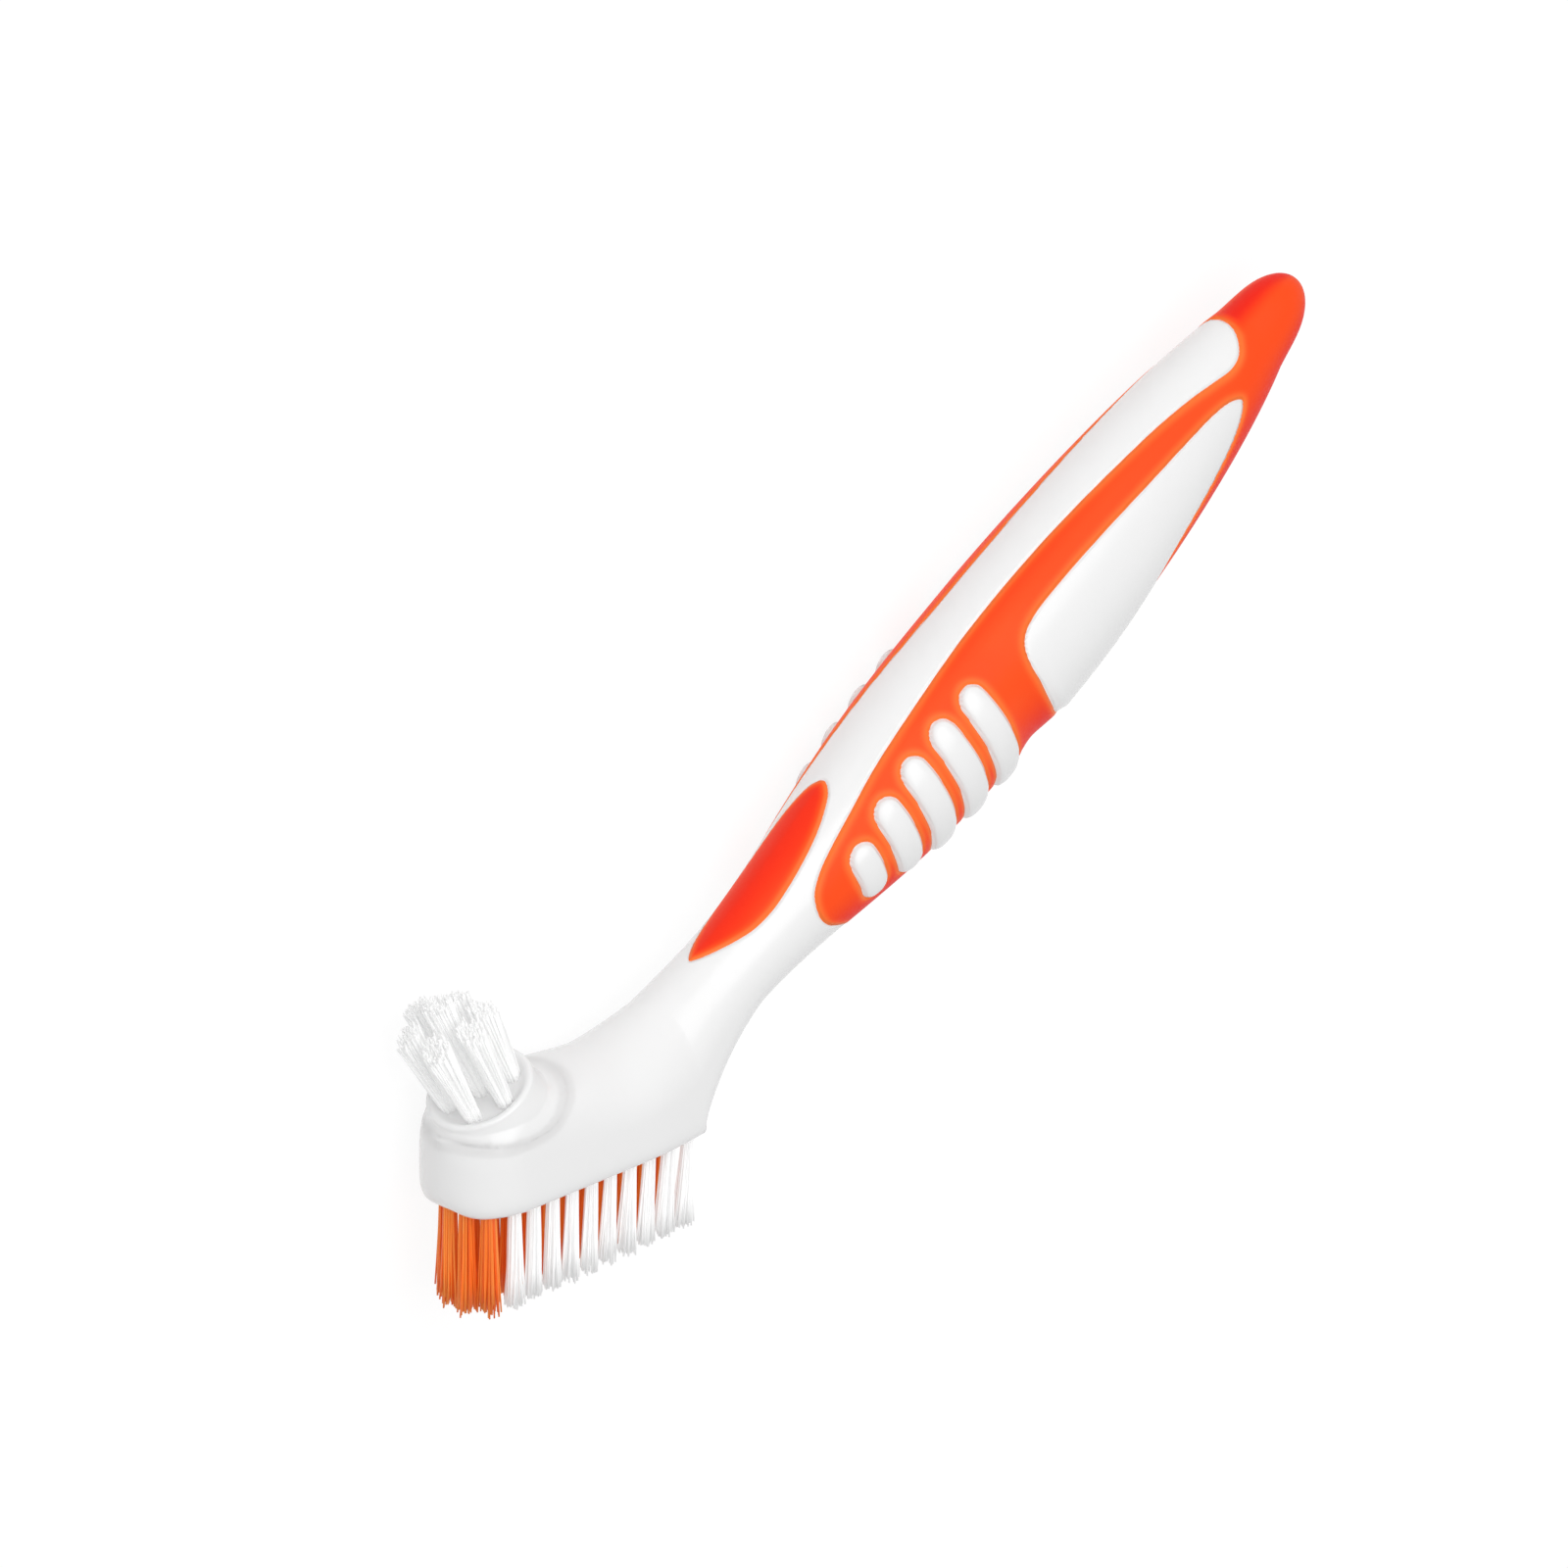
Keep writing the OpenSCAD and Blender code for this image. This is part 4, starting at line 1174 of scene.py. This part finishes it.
class BundleTree:
    """The Geometry Nodes tree that makes one bundle of filaments."""

    # The tree's inputs. Raggedness is the share of the length by which strands differ, and Slant the
    # rise of the cut over the bundle's radius.
    SIZES = {"Strands": ("NodeSocketInt", 50), "Root Radius": ("NodeSocketFloat", 0.0007),
             "Tip Radius": ("NodeSocketFloat", 0.001), "Length": ("NodeSocketFloat", 0.012),
             "Strand Radius": ("NodeSocketFloat", 0.0001), "Raggedness": ("NodeSocketFloat", 0.05),
             "Slant": ("NodeSocketFloat", 0.0), "Waviness": ("NodeSocketFloat", 0.0003),
             "Seed": ("NodeSocketInt", 1), "Finish": ("NodeSocketMaterial", None)}
    # Random numbers, one of each for each strand: lowest, highest, and what keeps it apart.
    CHANCES = {"stray": (-0.35, 0.35, 11.0), "splay": (0.8, 1.08, 23.0), "trim": (0.0, 1.0, 37.0),
               "strand": (0.0, 1.0, 41.0), "bend_x": (-1.0, 1.0, 53.0), "bend_y": (-1.0, 1.0, 67.0)}
    # Radians by which each strand turns on from the last, as the seeds of a sunflower do.
    GOLDEN_ANGLE = 2.39996
    # What each point of the rods is told before the strands are bent, by the name it is kept under.
    TOLD = {"up": "height", "push_x": "bend_x", "push_y": "bend_y"}
    # Sums: the result's name, the operation, and its terms, which are numbers or names.
    SUMS = (
        # Where each strand is rooted, and where its tip goes.
        ("nth", "ADD", "index", 0.5), ("part", "DIVIDE", "nth", "Strands"), ("share", "SQRT", "part"),
        ("spin", "MULTIPLY", "index", GOLDEN_ANGLE), ("turn", "ADD", "spin", "stray"),
        ("cos", "COSINE", "turn"), ("sin", "SINE", "turn"), ("root_r", "MULTIPLY", "share", "Root Radius"),
        ("root_x", "MULTIPLY", "cos", "root_r"), ("root_y", "MULTIPLY", "sin", "root_r"),
        ("wide", "MULTIPLY", "Tip Radius", "splay"), ("tip_r", "MULTIPLY", "share", "wide"),
        ("tip_x", "MULTIPLY", "cos", "tip_r"), ("tip_y", "MULTIPLY", "sin", "tip_r"),
        ("lost", "MULTIPLY", "trim", "Raggedness"), ("kept", "SUBTRACT", 1.0, "lost"),
        ("long", "MULTIPLY", "Length", "kept"), ("slope", "MULTIPLY", "Slant", "tip_x"),
        ("tip_z", "SUBTRACT", "long", "slope"),
        # How far each point of a strand is pushed aside: not at its root nor at 0.35 of its length, one
        # way between them and the other way beyond.
        ("above", "SUBTRACT", "up", 0.35), ("swell", "MULTIPLY", "up", "above"),
        ("curve", "MULTIPLY", "swell", "Waviness"), ("aside_x", "MULTIPLY", "push_x", "curve"),
        ("aside_y", "MULTIPLY", "push_y", "curve"))

    def __init__(self) -> None:
        """Builds the tree."""
        self.tree = bpy.data.node_groups.new("filament_bundle", "GeometryNodeTree")
        face = self.tree.interface
        for name, (kind, value) in self.SIZES.items():
            socket = face.new_socket(name, in_out="INPUT", socket_type=kind)
            if value is not None:
                socket.default_value = value
        face.new_socket("Geometry", in_out="OUTPUT", socket_type="NodeSocketGeometry")
        self.build()

    def build(self) -> None:
        """Spreads the strands in a sunflower pattern, leans each outwards and bends it a little."""
        t = self.tree
        known = {socket.name: socket for socket in add(t, "NodeGroupInput").outputs if socket.name}
        known["index"] = add(t, "GeometryNodeInputIndex").outputs[0]
        for name, (low, high, apart) in self.CHANCES.items():
            seed = add(t, "ShaderNodeMath", {0: known["Seed"], 1: apart}, operation="ADD").outputs[0]
            known[name] = add(t, "FunctionNodeRandomValue", {2: low, 3: high, "Seed": seed},
                              data_type="FLOAT").outputs[1]
        for name, kept_as in self.TOLD.items():
            known[name] = add(t, "GeometryNodeInputNamedAttribute", {"Name": kept_as},
                              data_type="FLOAT").outputs[0]
        for name, operation, *terms in self.SUMS:
            terms = {k: known[term] if isinstance(term, str) else term for k, term in enumerate(terms)}
            known[name] = add(t, "ShaderNodeMath", terms, operation=operation).outputs[0]
        root = add(t, "ShaderNodeCombineXYZ", {0: known["root_x"], 1: known["root_y"]})
        tip = add(t, "ShaderNodeCombineXYZ", {0: known["tip_x"], 1: known["tip_y"], 2: known["tip_z"]})
        lean = add(t, "ShaderNodeVectorMath", {0: tip.outputs[0], 1: root.outputs[0]}, operation="SUBTRACT")
        points = add(t, "GeometryNodePoints", {"Count": known["Strands"], "Position": root.outputs[0]})
        for name in ("strand", "bend_x", "bend_y"):
            points = add(t, "GeometryNodeStoreNamedAttribute", {
                "Geometry": points.outputs[0], "Name": name, "Value": known[name]},
                data_type="FLOAT", domain="POINT")
        # Six sides and four lengths are enough for a strand of 0.2 mm to look round and to bend.
        rod = add(t, "GeometryNodeMeshCylinder", {"Vertices": 6, "Side Segments": 4, "Fill Segments": 1,
                                                  "Radius": known["Strand Radius"], "Depth": 1.0})
        raised = add(t, "GeometryNodeTransform", {
            "Geometry": rod.outputs["Mesh"], "Translation": (0, 0, 0.5)})
        height = add(t, "ShaderNodeSeparateXYZ", {0: add(t, "GeometryNodeInputPosition").outputs[0]})
        marked = add(t, "GeometryNodeStoreNamedAttribute", {
            "Geometry": raised.outputs[0], "Name": "height", "Value": height.outputs[2]},
            data_type="FLOAT", domain="POINT")
        aim = add(t, "FunctionNodeAlignRotationToVector", {"Vector": lean.outputs[0]}, axis="Z")
        long = add(t, "ShaderNodeVectorMath", {0: lean.outputs[0]}, operation="LENGTH")
        size = add(t, "ShaderNodeCombineXYZ", {0: 1.0, 1: 1.0, 2: long.outputs["Value"]})
        laid = add(t, "GeometryNodeInstanceOnPoints", {
            "Points": points.outputs[0], "Instance": marked.outputs[0], "Rotation": aim.outputs[0],
            "Scale": size.outputs[0]})
        real = add(t, "GeometryNodeRealizeInstances", {"Geometry": laid.outputs[0]})
        aside = add(t, "ShaderNodeCombineXYZ", {0: known["aside_x"], 1: known["aside_y"]})
        moved = add(t, "GeometryNodeSetPosition", {"Geometry": real.outputs[0], "Offset": aside.outputs[0]})
        dressed = add(t, "GeometryNodeSetMaterial", {
            "Geometry": moved.outputs[0], "Material": known["Finish"]})
        add(t, "NodeGroupOutput", {0: dressed.outputs[0]})

    def make(self, name: str, place: Matrix, sizes: dict[str, object]) -> bpy.types.Object:
        """Makes one bundle as a plain mesh.

        Args:
            name: Name of the piece.
            place: Where its root and axis go, in metres.
            sizes: Values for the tree's named inputs.

        Returns:
            The finished piece.
        """
        maker = bpy.data.objects.new(name + "_maker", bpy.data.meshes.new(name + "_maker"))
        bpy.context.scene.collection.objects.link(maker)
        modifier = maker.modifiers.new("bundle", "NODES")
        modifier.node_group = self.tree
        for item in self.tree.interface.items_tree:
            if item.in_out == "INPUT" and item.name in sizes:
                modifier[item.identifier] = sizes[item.name]
        maker.update_tag()
        graph = bpy.context.evaluated_depsgraph_get()
        graph.update()
        mesh = bpy.data.meshes.new_from_object(maker.evaluated_get(graph))
        maker.modifiers.remove(modifier)
        bpy.data.objects.remove(maker)
        for extra in ("bend_x", "bend_y", "height"):
            if extra in mesh.attributes:
                mesh.attributes.remove(mesh.attributes[extra])
        mesh.name = name
        mesh.transform(place)
        mesh.shade_smooth()
        obj = bpy.data.objects.new(name, mesh)
        bpy.context.scene.collection.objects.link(obj)
        return obj


@dataclass(frozen=True)
class Bundle:
    """The make-up of one kind of bundle, in mm: how many strands, how they spread and how they are cut."""

    strands: int
    root_r: float
    tip_r: float
    ragged: float
    slant: float = 0.0
    wave: float = 0.4
    strand_r: float = 0.1

    def inputs(self, length: float, finish: bpy.types.Material) -> dict[str, object]:
        """Gives the values for the tree's named inputs.

        Args:
            length: Length from the roots to the tips in mm.
            finish: Material of the strands.

        Returns:
            Values by the name of the input, with lengths in metres.
        """
        return {"Strands": self.strands, "Root Radius": self.root_r * MM, "Tip Radius": self.tip_r * MM,
                "Length": length * MM, "Strand Radius": self.strand_r * MM, "Raggedness": self.ragged,
                "Slant": self.slant, "Waviness": self.wave * MM, "Finish": finish}


@dataclass
class Bristles:
    """All the filament bundles: the large brush under the head and the small one on its back."""

    SIDE = Bundle(76, 0.6, 1.08, 0.08)
    INNER = Bundle(64, 0.74, 1.1, 0.1)
    FRONT = Bundle(84, 0.76, 1.3, 0.14)
    TIP_MIDDLE = Bundle(150, 0.8, 1.75, 0.05, wave=0.25)
    TIP_RING = Bundle(150, 0.8, 1.75, 0.05, slant=0.5, wave=0.25)
    FIRST_SEED = 100
    SEED_STEP = 7

    form: BodyForm
    rows: int = 10
    pitch: float = 3.05
    rear_edge: float = 0.3
    row_gap: float = 8.0
    inner_gap: float = 2.8
    front_back: float = 0.28
    front_arc: float = 4.4
    front_turns: tuple[float, ...] = (-52, -18, 18, 52)
    front_len: float = 12.9
    rear_len: float = 11.5
    rear_lean: float = 6.0
    root_depth: float = 1.7
    tip_ring: float = 8.0
    tip_tufts: int = 6
    tip_first: float = 30.0
    tip_len: float = 15.5
    tip_side: float = 0.84
    tip_drop: float = 0.09
    tip_lean: float = 2.5
    seat_depth: float = 1.0

    def length(self, along: float) -> float:
        """Length of a bundle of the large brush, which is trimmed on a slant."""
        return mix(self.front_len, self.rear_len, max(0.0, along) / self.form.face_end)

    def face_place(self, along: float, side: float) -> Matrix:
        """Finds the place of a bundle on the bristle face, with its axis pointing away from the face.

        Args:
            along: Distance along the face in mm.
            side: Distance to the side that faces up in mm.

        Returns:
            The place of its roots, in metres.
        """
        p = (np.array([along, 0, side]) + PLACE) * MM
        lean = -math.radians(self.rear_lean * max(0.0, along) / self.form.face_end)
        m = Matrix.Translation(Vector(p)) @ Matrix.Rotation(math.radians(90), 4, "X")
        return m @ Matrix.Rotation(lean, 4, "Y") @ Matrix.Translation((0, 0, -self.root_depth * MM))

    def seat_place(self, k: int) -> Matrix:
        """Finds the place of a bundle of the small brush.

        Args:
            k: Its number; 0 is the middle one, and the others stand in a ring round it.

        Returns:
            The place of its roots, in metres.
        """
        f = self.form
        c = (np.array([-f.seat_back, f.seat_h, 0]) + PLACE) * MM
        turn = self.tip_first + (k - 1) * 360 / self.tip_tufts
        m = Matrix.Translation(Vector(c)) @ Matrix.Rotation(math.radians(f.seat_tilt), 4, "Z")
        m = m @ Matrix.Rotation(math.radians(-90), 4, "X") @ Matrix.Rotation(math.radians(-turn), 4, "Z")
        m = m @ Matrix.Translation((0 if k == 0 else self.tip_ring / 2 * MM, 0, -self.seat_depth * MM))
        m = m @ Matrix.Rotation(math.radians(0 if k == 0 else self.tip_lean), 4, "Y")
        return m @ Matrix.Translation((0, 0, -self.root_depth * MM))

    def build(self, tree: BundleTree, white: bpy.types.Material, orange: bpy.types.Material) -> None:
        """Makes every bundle and lets it stand for its solid.

        Args:
            tree: The tree that makes a bundle.
            white: Material of the white filaments.
            orange: Material of the orange filaments.
        """
        first = self.form.face_end - (self.rows - 1 + self.rear_edge) * self.pitch
        # The names leave open whether they mean a bundle of bristles or the solid tuft.
        jobs: list[tuple[str, Matrix, Bundle, float]] = []
        for side in Side:
            word = side.name.lower()
            for k in range(self.rows):
                at = first + k * self.pitch
                place = self.face_place(at, side.value * self.row_gap / 2)
                jobs.append((f"side_{{}}_{word}_{k + 1:02d}", place, self.SIDE, self.length(at)))
                at -= self.pitch / 2
                place = self.face_place(at, side.value * self.inner_gap / 2)
                jobs.append((f"inner_{{}}_{word}_{k + 1:02d}", place, self.INNER, self.length(at)))
        middle = first - self.front_back * self.pitch
        for k, turn in enumerate(self.front_turns):
            a = math.radians(turn)
            place = self.face_place(middle - self.front_arc * math.cos(a), self.front_arc * math.sin(a))
            jobs.append((f"front_{{}}_{k + 1:02d}", place, self.FRONT, self.front_len))
        for k in range(self.tip_tufts + 1):
            turn = math.radians(self.tip_first + (k - 1) * 360 / self.tip_tufts)
            share = 1.0 if k == 0 else self.tip_side - self.tip_drop * max(0.0, math.cos(turn))
            bundle = self.TIP_RING if k else self.TIP_MIDDLE
            jobs.append((f"tip_{{}}_{k + 1:02d}", self.seat_place(k), bundle, self.tip_len * share))
        for n, (name, place, bundle, length) in enumerate(jobs, 1):
            is_white = name.startswith(("side", "tip"))
            sizes = bundle.inputs(length + self.root_depth, white if is_white else orange)
            sizes["Seed"] = self.FIRST_SEED + n * self.SEED_STEP
            node, slot = name.format("tuft"), "white_filament" if is_white else "orange_filament"
            piece = tree.make(name.format("bristles"), place, sizes)
            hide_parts(node)
            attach(piece, "root")
            report(piece)


@dataclass
class Studio:
    """Camera, floor and soft lamps.

    The camera's right and up are in the brush's own directions, the width of its frame and the
    frame's centre in mm, and its distance, its clip and the floor's sizes in metres. Each lamp has a name,
    its way from the brush by the camera's right, up and back, its distance and side in metres, and
    its power in watts.
    """

    right: tuple[float, float, float] = (0.72, 0.0, 0.694)
    up: tuple[float, float, float] = (0.295, 0.905, -0.306)
    frame_width: float = 178.77
    centre: tuple[float, float] = (34.08, 47.04)
    distance: float = 6.0
    sensor: float = 36.0
    clip: tuple[float, float] = (0.5, 100.0)
    floor_half: float = 4.0
    floor_z: float = -0.0002
    floor_colour: str = "f4f4f4"
    floor_glow: float = 1.06
    glow_share: float = 0.84
    light_level: float = 0.46
    lamps: tuple[tuple[str, tuple[float, float, float], float, float, float], ...] = (
        ("softbox_front", (0.45, 0.05, 1.0), 0.9, 1.0, 6.7),
        ("softbox_above", (-0.6, 1.0, 0.5), 0.8, 0.6, 1.1))

    def axes(self) -> tuple[Vector, Vector, Vector]:
        """Makes the camera's directions square to each other.

        Returns:
            Its right, up and back.
        """
        r = Vector(self.right).normalized()
        b = r.cross(Vector(self.up)).normalized()
        return r, b.cross(r).normalized(), b

    def camera(self) -> None:
        """Sets the camera at the photograph's viewing angle, with a very long lens."""
        r, u, b = self.axes()
        aim = (r * self.centre[0] + u * self.centre[1] + Vector(PLACE)) * MM
        data = bpy.data.cameras.new("camera")
        data.sensor_width = self.sensor
        data.lens = self.sensor * self.distance / (self.frame_width * MM)
        data.clip_start, data.clip_end = self.clip
        cam = bpy.data.objects.new("camera", data)
        turn = Matrix((r, u, b)).transposed().to_4x4()
        cam.matrix_world = Matrix.Translation(aim + b * self.distance) @ turn
        bpy.context.scene.collection.objects.link(cam)
        bpy.context.scene.camera = cam
        self.aim = aim

    @staticmethod
    def seen(tree: bpy.types.NodeTree) -> bpy.types.NodeSocket:
        """Tells the rays that show the background: the camera's, and those in gloss and glass.

        Args:
            tree: The tree of the material or world.

        Returns:
            A socket that is 1 for those rays and 0 for the light on the brush.
        """
        path = add(tree, "ShaderNodeLightPath").outputs
        seen = path["Is Camera Ray"]
        for other in ("Is Glossy Ray", "Is Transmission Ray"):
            seen = add(tree, "ShaderNodeMath", {0: seen, 1: path[other]}, operation="MAXIMUM").outputs[0]
        return seen

    def floor(self) -> None:
        """Lays the pale floor, which keeps the brush's shadow but shows nearly white."""
        mesh = bpy.data.meshes.new("studio_floor")
        s, z = self.floor_half, self.floor_z
        mesh.from_pydata([(-s, -s, z), (s, -s, z), (s, s, z), (-s, s, z)], [], [(0, 1, 2, 3)])
        mat, tree = blank_material("studio_floor_paper")
        share = add(tree, "ShaderNodeMath", {0: self.seen(tree), 1: self.glow_share}, operation="MULTIPLY")
        paper = add(tree, "ShaderNodeBsdfDiffuse", {"Color": linear(self.floor_colour)})
        glow = add(tree, "ShaderNodeEmission", {"Color": (1, 1, 1, 1), "Strength": self.floor_glow})
        both = add(tree, "ShaderNodeMixShader", {
            0: share.outputs[0], 1: paper.outputs[0], 2: glow.outputs[0]})
        add(tree, "ShaderNodeOutputMaterial", {"Surface": both.outputs[0]})
        mesh.materials.append(mat)
        floor = bpy.data.objects.new("studio_floor", mesh)
        bpy.context.scene.collection.objects.link(floor)

    def world(self) -> None:
        """White round the floor for what the camera sees, and soft even light for the brush."""
        world = bpy.data.worlds.new("studio_world")
        bpy.context.scene.world = world
        world.use_nodes = True
        tree = world.node_tree
        tree.nodes.clear()
        level = add(tree, "ShaderNodeMapRange", {"Value": self.seen(tree), "To Min": self.light_level})
        back = add(tree, "ShaderNodeBackground", {"Color": (1, 1, 1, 1), "Strength": level.outputs[0]})
        add(tree, "ShaderNodeOutputWorld", {"Surface": back.outputs[0]})

    def lamp(self, name: str, direction: tuple[float, float, float], away: float, size: float,
             power: float) -> None:
        """Hangs one soft lamp round the brush.

        Args:
            name: Name of the lamp.
            direction: Where it hangs, by the camera's right, up and back.
            away: Distance in metres.
            size: Side of the lamp in metres.
            power: Its power in watts.
        """
        r, u, b = self.axes()
        way = (r * direction[0] + u * direction[1] + b * direction[2]).normalized()
        data = bpy.data.lights.new(name, "AREA")
        data.shape, data.size, data.energy = "SQUARE", size, power
        obj = bpy.data.objects.new(name, data)
        obj.location = self.aim + way * away
        obj.rotation_mode = "QUATERNION"
        obj.rotation_quaternion = (-way).to_track_quat("-Z", "Y")
        obj.visible_camera = False
        bpy.context.scene.collection.objects.link(obj)

    def build(self) -> None:
        """Makes the whole studio."""
        self.camera()
        self.floor()
        self.world()
        for lamp in self.lamps:
            self.lamp(*lamp)
        bpy.context.scene.view_settings.view_transform = "Standard"


def main() -> None:
    """Builds the studio, the body and the bristles."""
    logging.basicConfig(level=logging.INFO, format="%(name)s: %(message)s")
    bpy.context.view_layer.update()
    Studio().build()
    form = BodyForm()
    white = GlossyPolypropylene().material()
    orange = SoftTouchElastomer().material()
    metal = RolledAnchorStrip().material()
    shell = BodyShell(form, TwoColourLayout(), SeatForm(form))
    shell.measure()
    for piece, nodes, slot in ((shell.core(white), ["handle_core"], "core"),
                               (shell.skin("orange_grip", shell.soft, orange), ["grip_overmould"], "soft"),
                               (shell.skin("orange_thumb_pad", shell.pad, orange), ["thumb_pad"], "soft")):
        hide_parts(*nodes)
        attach(piece, "root")
        report(piece)
    # Both nylons glow faintly, painted light against the shade inside the bundles.
    Bristles(form).build(BundleTree(),
                         NylonFilament("nylon_drawn_white", "ffffff", "f8f8f8", painted_glow=0.13).material(),
                         NylonFilament("nylon_drawn_orange", "ffa040", "fa6a0c", painted_glow=0.07).material())
    for name in ("brush_anchors", "tip_anchors"):
        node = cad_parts[name]
        node.data.materials.clear()
        node.data.materials.append(metal)
        report(node)


if __name__ == "__main__":
    main()
